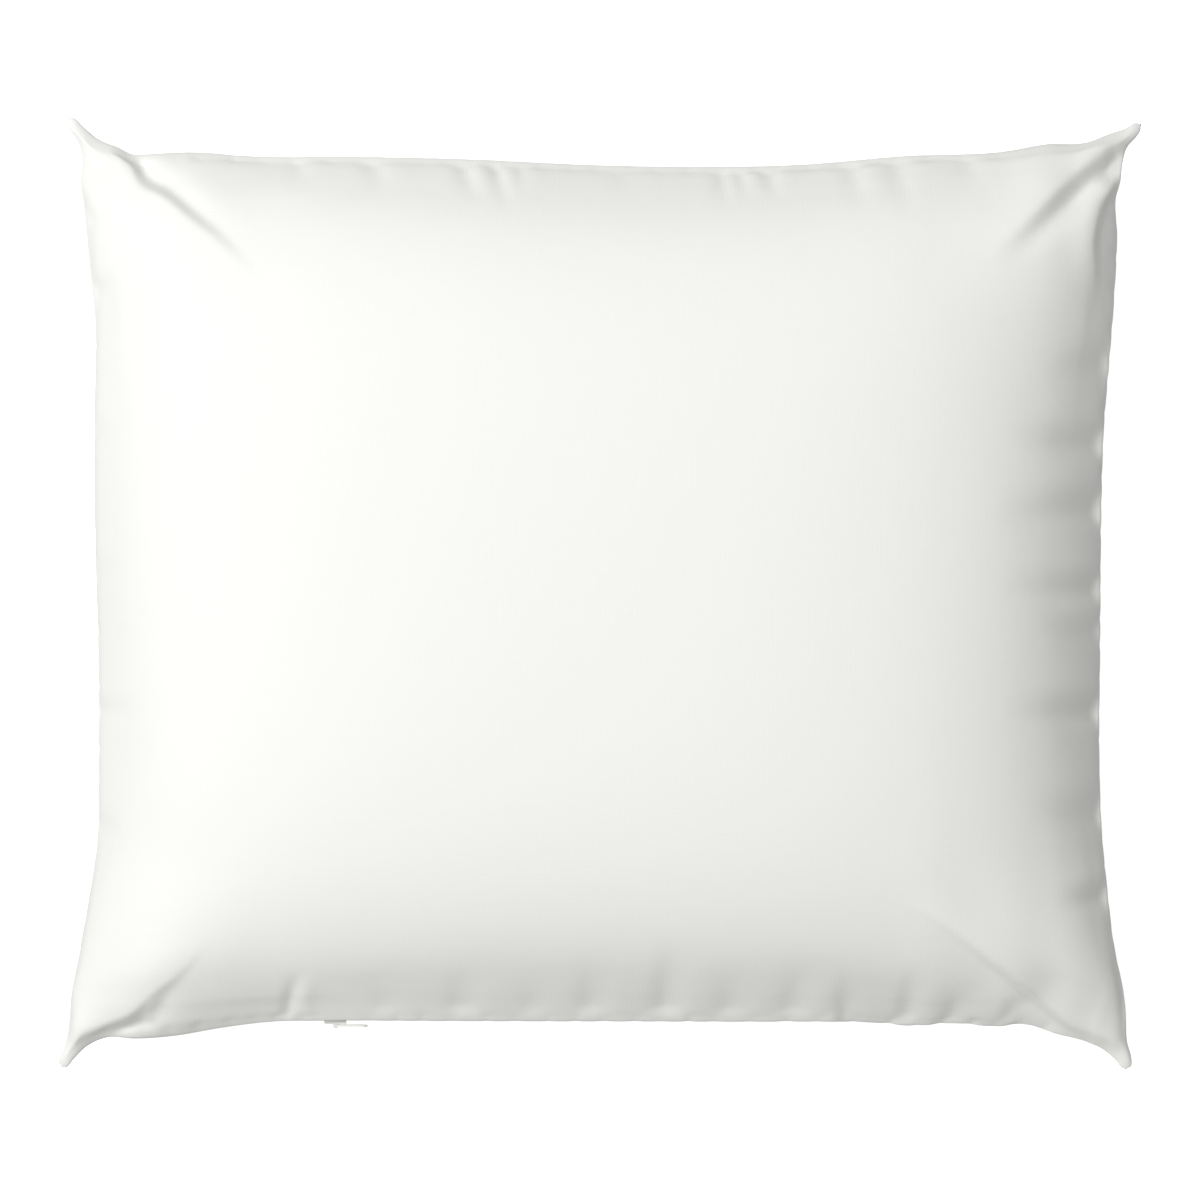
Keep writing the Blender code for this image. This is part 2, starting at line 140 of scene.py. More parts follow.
# Dents that run in from a side's seam: place along it, lean, reach, width and depth.
# Millimetres.
RIGHT_DENTS = (
    (60, 4, 44, 4.4, 2.4), (34, -3, 48, 5.0, 2.6), (2, 2, 46, 4.0, 2.5),
    (-15, 6, 30, 3.6, 1.4), (-47, 3, 44, 4.2, 2.6), (-88, 8, 34, 5.0, 1.8),
    (-121, 1, 26, 3.6, 2.4), (92, -6, 30, 5.0, 1.4),
)
LEFT_DENTS = (
    (122, 3, 16, 3.4, 1.0), (150, 4, 14, 3.0, 0.8), (66, 2, 12, 3.6, 0.5), (-46, 4, 22, 3.2, 1.0),
    (-92, -4, 14, 3.6, 0.7), (10, -3, 12, 4.0, 0.4),
)
TOP_DENTS = (
    (-122, 5, 15, 3.0, 0.9), (-91, 6, 17, 3.4, 1.2), (-55, 9, 22, 2.6, 1.3), (-42, 8, 25, 2.4, 1.3),
    (-33, 4, 20, 2.2, 0.8), (8, 2, 14, 3.4, 0.6), (48, 2, 22, 2.4, 1.1), (55, 4, 18, 2.2, 1.2),
    (67, 3, 18, 2.6, 1.2), (100, 5, 26, 3.4, 1.1), (118, 7, 30, 3.8, 1.2), (146, 4, 20, 3.6, 0.9),
)
BOTTOM_DENTS = (
    (-88, 3, 22, 4.2, 0.8), (-57, 4, 30, 4.6, 1.1), (-28, -3, 24, 3.8, 0.7), (-5, 3, 32, 4.4, 1.1),
    (25, 5, 42, 4.4, 1.4), (51, -3, 28, 4.4, 1.0), (76, 4, 30, 4.4, 1.1), (96, 2, 26, 4.0, 1.0),
    (122, 4, 32, 3.6, 1.6), (140, 2, 16, 3.0, 1.1), (163, 6, 18, 3.2, 1.3),
)

FRONT_DENTS = {
    "left": LEFT_DENTS,
    "right": RIGHT_DENTS,
    "top": TOP_DENTS,
    "bottom": BOTTOM_DENTS,
}
SEAMS = {"left": SEAM_LEFT, "right": SEAM_RIGHT, "bottom": SEAM_BOTTOM, "top": SEAM_TOP}
UPRIGHT = ("left", "right")

# The back panel: millimetres between the dents along a side, and the share of its length
# over which a corner's fold fades
BACK_SPACING = 31
BACK_FOLD_FADE = 0.62
# A side's puckers: the seed they are drawn from, and their depth as a share of the lower
# side's
PUCKERS = {"bottom": (7, 1), "top": (9, 0.7), "left": (3, 0.5), "right": (5, 0.6)}
PUCKER_DEPTH = 0.0007

# The care label's line, over its fold and back: millimetres along y and z from the inner
# pillow's seam
LABEL_LINE = (
    (-0.6, 0.6), (-1.8, 2.8), (-1.6, 7.0), (-0.2, 10.5), (1.0, 12.8), (0.9, 13.9), (-0.2, 13.4),
    (-1.3, 11.0), (-2.7, 7.2), (-3.1, 2.8), (-2.3, 0.2), (-1.3, -0.2), (-0.6, 0.1),
)
LABEL_SIZE = (0.025, 0.032)  # laid flat
LABEL_PATTERN = 0.030  # how much of its length the weave's pattern is laid over
LABEL_CELLS = (26, 40)
TICKING_CUT = (0.435, 0.385)  # each ticking panel laid flat

# Sewing and zip, in metres
ALLOWANCE = (0.0017, 0.0065)  # the allowance's near and far edge, from the seam
ALLOWANCE_THICKNESS = 0.0006
ALLOWANCE_SHARES = (0.12, 0.88)  # where it starts and ends along a side
SEAM_SPAN = 0.43  # the lower seam from corner tip to corner tip
ZIP_CLEARANCE = 0.003  # from the zip's ends to the allowance
TAPE_INSET = 0.0018  # from the seam to the tape
TAPE_GAP = 0.00015  # from the cloth to the tape
SEAM_ROLL = 0.0022  # how far from the seam the cloth starts to roll in
ZIP_LIPS = 0.0006
SEAM_LIPS = 0.0001
COIL_STEPS = 12  # per turn
WIRE_SIDES = 6

# Stage, in metres
FLOOR_HALF = 12.0
FLOOR_DROP = 0.0003  # keeps the floor clear of the cloth that lies on it
KEY_PLACE = (-1.05, 0.42, 2.12)
KEY_SIZE = 1.3
CAMERA_PLACE = (-0.0008, -0.0016)
SENSOR_WIDTH = 36  # in millimetres

# How many of a pattern's features lie in a metre
SLUBS = 60  # thick threads, 17 mm apart
SLUB_STRETCH = 14
CREASES = 38  # 26 mm apart
DRAWING_MARKS = 900  # 1.1 mm apart
ORANGE_PEEL = 700  # 1.4 mm apart
FIBRE_TUFTS = 140  # 7 mm apart
FIBRE_HAIRS = 900  # 1.1 mm apart
WAVE_REPEAT = math.pi / 10  # a wave texture's repeat at scale 1
# Real spacings between threads, in metres
OVERLOCK_STITCH = 0.0016
TAPE_RIB = 0.0005
RIBBON_THREAD = 0.0003


# Properties


def length(name, description, default):
    return bpy.props.FloatProperty(
        name=name, description=description, default=default, min=0, unit="LENGTH", precision=4
    )


def colour(name, description, default):
    return bpy.props.FloatVectorProperty(
        name=name,
        description=description,
        default=linear(default),
        subtype="COLOR",
        size=3,
        min=0,
        max=1,
    )


def linear(hex_colour):
    """An sRGB hex colour as linear light."""
    parts = [int(hex_colour[k : k + 2], 16) / 255 for k in (1, 3, 5)]
    return tuple(c / 12.92 if c <= 0.04045 else ((c + 0.055) / 1.055) ** 2.4 for c in parts)


class PillowCaseSettings(bpy.types.PropertyGroup):
    cut_width: length("Cut width", "Width of each flat panel, seam to seam", 0.45)
    cut_depth: length("Cut depth", "Depth of each flat panel, seam to seam", 0.40)
    cloth: length("Cloth", "Thickness of a panel's cloth", 0.0005)
    spacing: length("Mesh spacing", "Distance between a panel's mesh lines", 0.0015)
    groove: length("Seam groove", "How far the seam lies behind the rolled edges", 0.0010)
    overhang: length("Back overhang", "How far the back panel rolls out along the zip", 0.0018)
    thread: length("Thread spacing", "Distance between the weave's threads", 0.0003)
    percale: colour("Percale", "Colour of the case", "#F4F4F0")
    stitching: colour("Stitching", "Colour of the seams' thread", "#F0F0EC")


class PillowZipSettings(bpy.types.PropertyGroup):
    pitch: length("Coil pitch", "Distance between the coil's turns", 0.00127)
    wire: length("Coil wire", "Radius of the coil's wire", 0.00026)
    tape: length("Tape", "Thickness of the zip's tapes", 0.0004)
    tape_width: length("Tape width", "Width of each tape on its panel", 0.0085)
    tape_colour: colour("Tape colour", "Colour of the zip's tapes", "#F0F0ED")
    nylon: colour("Coil colour", "Colour of the coils and stops", "#EDEDEA")
    lacquer: colour("Lacquer", "Colour of the slider and the puller", "#ECECE8")


class PillowInnerSettings(bpy.types.PropertyGroup):
    half_width: length("Half width", "From the middle to the inner pillow's side", 0.189)
    half_depth: length("Half depth", "From the middle to the inner pillow's long side", 0.159)
    cloth: length("Ticking", "Thickness of the inner pillow's cloth", 0.0004)
    fill_gap: length("Filling gap", "From the ticking to the filling", 0.0006)
    ticking: colour("Ticking colour", "Colour of the inner pillow's cloth", "#EFEDE6")
    fibre: colour("Fibre colour", "Colour of the filling", "#F6F6F6")
    ribbon: colour("Label colour", "Colour of the blank care label", "#F5F5F2")


class PillowStageSettings(bpy.types.PropertyGroup):
    floor: colour("Floor", "Colour of the studio's floor", "#FBFBFB")
    floor_glow: bpy.props.FloatProperty(
        name="Floor glow", description="Light from the light table", default=0.66, min=0
    )
    key: bpy.props.FloatProperty(
        name="Key light",
        description="Power of the light from the left",
        default=43,
        min=0,
        unit="POWER",
    )
    sky: bpy.props.FloatProperty(
        name="Sky", description="Strength of the even light all round", default=0.37, min=0
    )
    lens: bpy.props.FloatProperty(
        name="Lens", description="Focal length of the camera", default=150, min=1, unit="CAMERA"
    )
    view_width: length("View width", "Width the camera sees at the seam's height", 0.4824)


# Curves and grids


def smooth(share):
    share = np.clip(share, 0, 1)
    return share * share * (3 - 2 * share)


def smooth_line(knots, count=1500):
    """Points along a smooth curve through knots, which are in millimetres and may be unevenly
    spaced."""
    p = np.array(knots, float) * MM
    s = np.concatenate([[0], np.cumsum(np.linalg.norm(np.diff(p, axis=0), axis=1))])
    h = np.diff(s)[:, None]
    slope = np.diff(p, axis=0) / h
    middle = (slope[:-1] * h[1:] + slope[1:] * h[:-1]) / (h[1:] + h[:-1])
    m = np.concatenate([slope[:1], middle, slope[-1:]])
    at = np.linspace(0, s[-1], count)
    k = np.clip(np.searchsorted(s, at) - 1, 0, len(p) - 2)
    t = ((at - s[k]) / h[k, 0])[:, None]
    return (
        (1 + 2 * t) * (1 - t) ** 2 * p[k]
        + t * (1 - t) ** 2 * h[k] * m[k]
        + t * t * (3 - 2 * t) * p[k + 1]
        + t * t * (t - 1) * h[k] * m[k + 1]
    )


def lengths_along(line):
    steps = np.linalg.norm(np.diff(line, axis=0), axis=1)
    return np.concatenate([[0], np.cumsum(steps)])


def at_shares(line, shares):
    """Points of a line at shares of its length."""
    along = lengths_along(line)
    columns = [np.interp(np.asarray(shares) * along[-1], along, c) for c in line.T]
    return np.stack(columns, axis=-1)


def between_rows(values, at):
    """An array's rows at fractional places, on smooth curves through them."""
    last = len(values) - 1
    ends = (2 * values[:1] - values[1:2], 2 * values[-1:] - values[-2:-1])
    padded = np.concatenate([ends[0], values, ends[1]])
    k = np.minimum(at.astype(int), last - 1)
    t = (at - k).reshape(-1, *[1] * (values.ndim - 1))
    a, b, c, d = (padded[k + n] for n in range(4))
    return b + t / 2 * (c - a + t * (2 * a - 5 * b + 4 * c - d + t * (3 * (b - c) + d - a)))


def resampled(grid, across, up):
    """A grid of points at other shares of its two sides."""
    columns, rows = grid.shape[0] - 1, grid.shape[1] - 1
    wide = between_rows(grid, np.asarray(across) * columns)
    return between_rows(wide.swapaxes(0, 1), np.asarray(up) * rows).swapaxes(0, 1)


def unit(vectors):
    """The vectors, each with a length of 1."""
    return vectors / np.maximum(np.linalg.norm(vectors, axis=-1, keepdims=True), 1e-12)


def normals_of(grid, side):
    """Unit normals of a grid of points, out of the pillow."""
    return unit(np.cross(np.gradient(grid, axis=0), np.gradient(grid, axis=1))) * side


def grid_faces(columns, rows, first=0, flip=False):
    """Quads over a grid of points stored column by column."""
    i, j = np.meshgrid(np.arange(columns - 1), np.arange(rows - 1), indexing="ij")
    a = (first + i * rows + j).ravel()
    quads = np.stack([a, a + rows, a + rows + 1, a + 1], axis=1)
    return quads[:, ::-1] if flip else quads


def rim_of(columns, rows):
    """Indices round the border of such a grid, anticlockwise."""
    bottom = [i * rows for i in range(columns)]
    right = [(columns - 1) * rows + j for j in range(1, rows)]
    top = [i * rows + rows - 1 for i in range(columns - 2, -1, -1)]
    left = list(range(rows - 2, 0, -1))
    return np.array(bottom + right + top + left)


def shell_mesh(outer, inner, side):
    """Points and quads of a closed sheet between two grids."""
    columns, rows = outer.shape[:2]
    count = columns * rows
    rim = rim_of(columns, rows)
    after = np.roll(rim, -1)
    wall = np.stack([rim, rim + count, after + count, after], axis=1)
    faces = [
        grid_faces(columns, rows, 0, side < 0),
        grid_faces(columns, rows, count, side > 0),
        wall if side > 0 else wall[:, ::-1],
    ]
    points = np.concatenate([outer.reshape(-1, 3), inner.reshape(-1, 3)])
    return points, np.concatenate(faces)


def mesh_object(name, points, faces, material, cut=None):
    """A smooth-shaded object from arrays. Cut gives each point's place on the flat cloth."""
    mesh = bpy.data.meshes.new(name)
    mesh.vertices.add(len(points))
    mesh.vertices.foreach_set("co", np.asarray(points, np.float32).ravel())
    corners = np.concatenate(list(faces))
    sizes = [len(face) for face in faces]
    mesh.loops.add(len(corners))
    mesh.loops.foreach_set("vertex_index", corners.astype(np.int32))
    mesh.polygons.add(len(sizes))
    starts = np.concatenate([[0], np.cumsum(sizes)[:-1]])
    mesh.polygons.foreach_set("loop_start", starts.astype(np.int32))
    mesh.update(calc_edges=True)
    mesh.validate()
    mesh.shade_smooth()
    if cut is not None:
        layer = mesh.attributes.new("flat_cut", "FLOAT_VECTOR", "POINT")
        layer.data.foreach_set("vector", np.asarray(cut, np.float32).ravel())
    mesh.materials.append(material)
    piece = bpy.data.objects.new(name, mesh)
    bpy.context.scene.collection.objects.link(piece)
    return piece


# The case as it starts: a slack, lightly filled shape that cloth simulation then swells

START_HALF_W = 0.2095
START_HALF_D = 0.1800
START_CROWN = {FRONT: 0.048, BACK: 0.038}
START_BOW = 0.004
START_EAR = (0.010, 0.014)
RESTING_SHARE = 0.82
SIM_CELLS = 100
SIM_FRAMES = 18
CROWN_FLATNESS = 1.15  # above 1 the front is flatter in its middle
CROWN_SHOULDER = 0.55  # the higher, the more gently the front falls away to its seam
CROWN_REACH = (0.035, 0.041)  # over what distance from a seam the front rises, along x and y
ZIP_BULGE = 0.0036  # how far the front stands out over the zip's slider
SIMULATED_SHARE = 0.3  # how much of the front's height is the simulation's own
HORN_PLUMPNESS = 0.0035  # how far the cloth stands up in the corners' horns
HORN_REACH = 0.004  # over what distance from a seam a horn rises
HORNS_FROM = (0.13, 0.10)  # where the horns start, along x and y
HORNS_OVER = 0.05
SEAM_CLIMB = 0.007  # how much higher the seam opposite the zip lies
SEAM_DROOP = 0.003  # how far the corners hang down
PRESSED = 0.009  # how far the back would bulge below what it rests on
REST_SOFTNESS = 0.004  # how gently it lifts off
DEEPEST_FOLD = 0.55  # the share of the height above the seam that a corner's fold may take
RIPPLE_PASSES = 3  # smoothing passes over the simulated panel, and in its corners
CORNER_PASSES = 40
CORNER_FROM = 0.06  # where those fade, in shares of the panel's width
CORNER_OVER = 0.14


def corner_reach(share, bow, ear):
    """How far an edge lies outside its own middle, at a share of the way to the corner."""
    tip = np.clip((share - 0.86) / 0.14, 0, 1)
    return bow * smooth((share - 0.6) / 0.35) + ear * tip * tip


def filled_shape(u, v, side, half_w, half_d, crown, bow, ears):
    """Points of one panel of a filled case, at shares from -1 to 1 of its half sides."""
    a, b = np.abs(u), np.abs(v)
    x = u * half_w + np.sign(u) * a**4 * corner_reach(b, bow, ears[0])
    y = v * half_d + np.sign(v) * b**4 * corner_reach(a, bow, ears[1])
    rise = ((1 - np.clip(a, 0, 1) ** 3) * (1 - np.clip(b, 0, 1) ** 3)) ** 0.6
    if side == BACK:
        rise = np.minimum(rise, RESTING_SHARE) / RESTING_SHARE
    return np.stack([x, y, SEAM_Z + side * crown * rise], axis=-1)


def even_grid(side, columns, rows, *shape):
    """A grid over that panel, with its lines spaced evenly along the cloth."""
    fine = np.sin(np.linspace(-math.pi / 2, math.pi / 2, 1201))
    middle = lengths_along(filled_shape(0 * fine, fine, side, *shape))
    lines = np.interp(np.linspace(0, middle[-1], rows + 1), middle, fine)
    grid = np.zeros((columns + 1, rows + 1, 3))
    for j, v in enumerate(lines):
        level = np.full_like(fine, v)
        along = lengths_along(filled_shape(fine, level, side, *shape))
        u = np.interp(np.linspace(0, along[-1], columns + 1), along, fine)
        grid[:, j] = filled_shape(u, np.full_like(u, v), side, *shape)
    return grid


def swelled(front, back, cut_width, cut_depth):
    """Both panels, joined along their border, after cloth simulation under pressure. The
    cloth's own lengths are those of the flat cut."""
    columns, rows = front.shape[0], front.shape[1]
    count = columns * rows
    rim = rim_of(columns, rows)
    shared = np.zeros(count, bool)
    shared[rim] = True
    index = {FRONT: np.arange(count), BACK: np.arange(count)}
    index[BACK][~shared] = count + np.arange((~shared).sum())
    flat_x, flat_y = np.meshgrid(
        np.linspace(-0.5, 0.5, columns) * cut_width,
        np.linspace(-0.5, 0.5, rows) * cut_depth,
        indexing="ij",
    )
    flat = np.stack([flat_x, flat_y, np.full_like(flat_x, SEAM_Z)], axis=-1).reshape(-1, 3)
    points = np.concatenate([front.reshape(-1, 3), back.reshape(-1, 3)[~shared]])
    points[rim] = (front.reshape(-1, 3)[rim] + back.reshape(-1, 3)[rim]) / 2
    faces = np.concatenate(
        [index[FRONT][grid_faces(columns, rows)], index[BACK][grid_faces(columns, rows, 0, True)]]
    )
    case = mesh_object("case_simulation", points, faces, None)
    case.shape_key_add(name="filled")
    cut = case.shape_key_add(name="cut")
    cut.data.foreach_set("co", np.concatenate([flat, flat[~shared]]).astype(np.float32).ravel())
    cloth = case.modifiers.new("cloth", "CLOTH")
    settings = cloth.settings
    settings.rest_shape_key = cut
    settings.quality = 6
    settings.mass = 0.1
    settings.tension_stiffness = settings.compression_stiffness = 40
    settings.shear_stiffness = 10
    settings.bending_stiffness = 0.05
    settings.tension_damping = settings.compression_damping = settings.shear_damping = 10
    settings.bending_damping = 0.5
    settings.air_damping = 5
    settings.use_pressure = True
    settings.uniform_pressure_force = 3
    settings.effector_weights.gravity = 0
    cloth.collision_settings.use_collision = False
    cloth.point_cache.frame_start = 1
    cloth.point_cache.frame_end = SIM_FRAMES
    for number in range(1, SIM_FRAMES + 1):
        bpy.context.scene.frame_set(number)
    done = case.evaluated_get(bpy.context.evaluated_depsgraph_get()).to_mesh()
    result = np.zeros(len(done.vertices) * 3, np.float32)
    done.vertices.foreach_get("co", result)
    result = result.reshape(-1, 3).astype(float)
    bpy.data.objects.remove(case)
    bpy.context.scene.frame_set(1)
    return {side: result[index[side]].reshape(columns, rows, 3) for side in (FRONT, BACK)}


# The finished shape of the case's panels


def case_settings():
    return bpy.context.scene.pillow_case


def panel_lines(full, spacing):
    """Distances across the flat cut, with closer lines beside each seam."""
    near = [0, 0.0004, 0.0009, 0.0016]
    start = 0.0026
    middle = np.linspace(start, full - start, round((full - 2 * start) / spacing) + 1)
    return np.concatenate([near, middle, [full - d for d in near[::-1]]])


def blended_border(grid, wanted, across, up):
    """The grid moved so that its border is the wanted one, with the change fading evenly
    towards the opposite side."""
    left, right, bottom, top = (
        wanted["left"] - grid[0],
        wanted["right"] - grid[-1],
        wanted["bottom"] - grid[:, 0],
        wanted["top"] - grid[:, -1],
    )
    s = smooth(across)[:, None, None]
    t = smooth(up)[None, :, None]
    corners = (
        (1 - s) * (1 - t) * left[0] + (1 - s) * t * left[-1]
        + s * (1 - t) * right[0] + s * t * right[-1]
    )
    sides = (1 - s) * left[None] + s * right[None]
    ends = (1 - t) * bottom[:, None] + t * top[:, None]
    return grid + sides + ends - corners


def seam_heights(points):
    """The seam's height: level beside the zip and a little higher opposite it, with the
    corners drooping."""
    climb = SEAM_CLIMB * smooth((points[..., 1] + 0.10) / 0.26)
    droop = smooth((np.abs(points[..., 0]) - 0.17) / 0.05)
    droop = droop * smooth((np.abs(points[..., 1]) - 0.14) / 0.05)
    return SEAM_Z + climb - SEAM_DROOP * droop


def seam_border(across, up):
    """The seam's four sides in space, at shares of the cut."""
    border = {}
    for name, knots in SEAMS.items():
        shares = up if name in UPRIGHT else across
        plan = at_shares(smooth_line(knots), shares)
        border[name] = np.concatenate([plan, seam_heights(plan)[:, None]], axis=1)
    return border


def fold_height(x, y, line, height, left, right, rise, fade):
    """How high a fold stands at points in plan. Height and widths are in millimetres."""
    path = smooth_line(line, 90)
    low = path.min(0) - 3 * max(left, right) * MM
    high = path.max(0) + 3 * max(left, right) * MM
    near = (x > low[0]) & (x < high[0]) & (y > low[1]) & (y < high[1])
    result = np.zeros_like(x)
    points = np.stack([x[near], y[near]], axis=1)
    if not len(points):
        return result
    step = points[:, None] - path[None]
    k = (step**2).sum(-1).argmin(1)
    tangent = unit(np.gradient(path, axis=0))
    away = points - path[k]
    t = tangent[k]
    aside = t[:, 0] * away[:, 1] - t[:, 1] * away[:, 0]
    beyond = np.abs(t[:, 0] * away[:, 0] + t[:, 1] * away[:, 1])
    share = k / (len(path) - 1)
    width = np.where(aside > 0, left, right) * MM
    strength = smooth(share / max(rise, 1e-3)) * smooth((1 - share) / max(fade, 1e-3))
    falloff = np.exp(-((aside / width) ** 2) - (beyond / width) ** 2)
    result[near] = height * MM * strength * falloff
    return result


def side_dent(place, lean, reach, side):
    """The line of a dent that runs in from a side's seam, in millimetres."""
    line = smooth_line(SEAMS[side]) / MM
    along, out = (1, 0) if side in UPRIGHT else (0, 1)
    edge = line[np.abs(line[:, along] - place).argmin(), out]
    inwards = -1 if side in ("right", "top") else 1
    points = []
    for share in (-0.1, 0.3, 0.65, 1):
        end = [0, 0]
        end[along] = place + lean * share**2
        end[out] = edge + inwards * reach * share
        points.append(tuple(end))
    return tuple(points)


def dent_folds(side, dents):
    """Each dent and the low swell beside it."""
    for place, lean, reach, width, depth in dents:
        yield side_dent(place, lean, reach, side), -depth, width * 1.2, width * 1.6, 0.01, 0.9
        beside = side_dent(place + 2.6 * width, lean * 1.4, reach * 0.8, side)
        yield beside, depth * 0.3, width * 1.4, width * 2, 0.01, 0.9


def back_folds():
    """The back panel's folds: a valley from each corner and dents along each side."""
    random = np.random.default_rng(41)
    for sx in (-1, 1):
        for sy in (-1, 1):
            bend = random.uniform(-6, 6)
            line = (
                (sx * 209, sy * 184),
                (sx * 186 + bend, sy * 160 - bend),
                (sx * 160 + bend, sy * 134 - bend),
                (sx * 132, sy * 108),
            )
            yield line, -3.2, 3.4, 4.4, 0.1, BACK_FOLD_FADE
            ridge = tuple((px - sx * 7, py + sy * 6) for px, py in line)
            yield ridge, 2.0, 5.0, 4.0, 0.2, BACK_FOLD_FADE
    for side, half in (("left", 150), ("right", 150), ("bottom", 180), ("top", 180)):
        for place in np.arange(-half, half, BACK_SPACING):
            place = place + random.uniform(-9, 9)
            deep = random.uniform(0.5, 1.7)
            on_zip = side == "bottom" and ZIP_FROM < place * MM < ZIP_TO
            reach = random.uniform(14, 34)
            lean = random.uniform(-7, 7)
            wide = random.uniform(2.6, 4.6)
            depth = -deep * (0.5 if on_zip else 1)
            yield side_dent(place, lean, reach, side), depth, wide, wide, 0.01, 0.85


def puckers(name, cut_x, cut_y):
    """How far a side's stitching draws the cloth in, over the flat cut."""
    along, across = (cut_y, cut_x) if name in UPRIGHT else (cut_x, cut_y)
    random = np.random.default_rng(PUCKERS[name][0])
    centres = []
    place = random.uniform(0.004, 0.012)
    while place < along.max():
        centres.append((place, random.uniform(0.0016, 0.0030), random.uniform(0.35, 1.0)))
        place += random.uniform(0.009, 0.0155)
    depth = np.zeros_like(along)
    for centre, width, strength in centres:
        depth += strength * np.exp(-(((along - centre) / width) ** 2))
    edge = np.minimum(across, across[-1] - across)
    band = smooth(edge / 0.0022) * smooth((0.011 - edge) / 0.008)
    first_half = across < across[-1] / 2
    band = band * (first_half if name in ("bottom", "left") else ~first_half)
    drawn = depth[:, None] * band[None, :]
    return drawn.T if name in UPRIGHT else drawn


def near_zip(x, y):
    """1 beside the zip and 0 away from it, with a short rise at its ends."""
    inside = smooth((x - ZIP_FROM + 0.004) / 0.006) * smooth((ZIP_TO + 0.004 - x) / 0.006)
    return inside * (y < 0)


@lru_cache(maxsize=1)
def case_surfaces():
    """The outer faces of the two panels as grids, with their lines' places on the cut."""
    case = case_settings()
    columns = SIM_CELLS
    rows = round(columns * case.cut_depth / case.cut_width)
    raw = {}
    for side, crown in START_CROWN.items():
        shape = (START_HALF_W, START_HALF_D, crown, START_BOW, START_EAR)
        raw[side] = even_grid(side, columns, rows, *shape)
    raw = swelled(raw[FRONT], raw[BACK], case.cut_width, case.cut_depth)

    spacing = case.spacing * 1
    cut_x = panel_lines(case.cut_width, spacing)
    cut_y = panel_lines(case.cut_depth, spacing)
    across, up = cut_x / case.cut_width, cut_y / case.cut_depth
    border = seam_border(across, up)
    surfaces = {}
    for side in (FRONT, BACK):
        grid = resampled(settled(raw[side]), across, up)
        grid = blended_border(grid, border, across, up)
        surfaces[side] = folded(set_heights(grid, side), side, cut_x, cut_y)
    return surfaces, cut_x, cut_y


def settled(grid):
    """The simulated panel with its finest ripples smoothed out, most of all in the corners,
    where the horns are drawn from."""

    def relaxed(grid, passes):
        grid = grid.copy()
        for _ in range(passes):
            middle = grid[1:-1, 1:-1]
            around = grid[2:, 1:-1] + grid[:-2, 1:-1] + grid[1:-1, 2:] + grid[1:-1, :-2]
            grid[1:-1, 1:-1] = middle + 0.5 * (around / 4 - middle)
        return grid

    columns, rows = grid.shape[:2]
    i = np.minimum(np.arange(columns), columns - 1 - np.arange(columns)) / columns
    j = np.minimum(np.arange(rows), rows - 1 - np.arange(rows)) / columns
    share = smooth((np.hypot(i[:, None], j[None, :]) - CORNER_FROM) / CORNER_OVER)[..., None]
    even = relaxed(grid, CORNER_PASSES)
    return even + (relaxed(grid, RIPPLE_PASSES) - even) * share


def rise_from_seams(grid, across, up):
    """From 0 at the seams towards 1 well inside them, over a distance along x and along y."""
    x, y = grid[..., 0], grid[..., 1]
    share = 1
    for distance, reach in (
        (x - x[:1], across),
        (x[-1:] - x, across),
        (y - y[:, :1], up),
        (y[:, -1:] - y, up),
    ):
        share = share * (1 - np.exp(-np.maximum(distance, 0) / reach))
    return share


def set_heights(grid, side):
    """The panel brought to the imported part's height, and flat where it rests."""
    grid = grid.copy()
    rise = (grid[..., 2] - seam_heights(grid)) * side
    if side == FRONT:
        share = np.clip(rise / rise.max(), 0, 1)
        share = (1 - CROWN_SHOULDER) * share + CROWN_SHOULDER * share**2
        share = 1 - (1 - share) ** CROWN_FLATNESS
        drawn = rise_from_seams(grid, *CROWN_REACH)
        share = SIMULATED_SHARE * share + (1 - SIMULATED_SHARE) * drawn
        plump = rise_from_seams(grid, HORN_REACH, HORN_REACH)
        for axis in (0, 1):
            plump *= smooth((np.abs(grid[..., axis]) - HORNS_FROM[axis]) / HORNS_OVER)
        height = (TOP_Z - seam_heights(grid)) * share / share.max()
        grid[..., 2] = seam_heights(grid) + height + HORN_PLUMPNESS * plump
        return grid
    level = seam_heights(grid) - rise * ((seam_heights(grid) + PRESSED) / rise.max())
    level = (level + np.sqrt(level**2 + REST_SOFTNESS**2)) / 2
    grid[..., 2] = level - level.min()
    return grid


def border_distance(cut_x, cut_y):
    """From each line of the flat cut to the nearer border."""
    dx = np.minimum(cut_x, cut_x[-1] - cut_x)
    dy = np.minimum(cut_y, cut_y[-1] - cut_y)
    return dx, dy


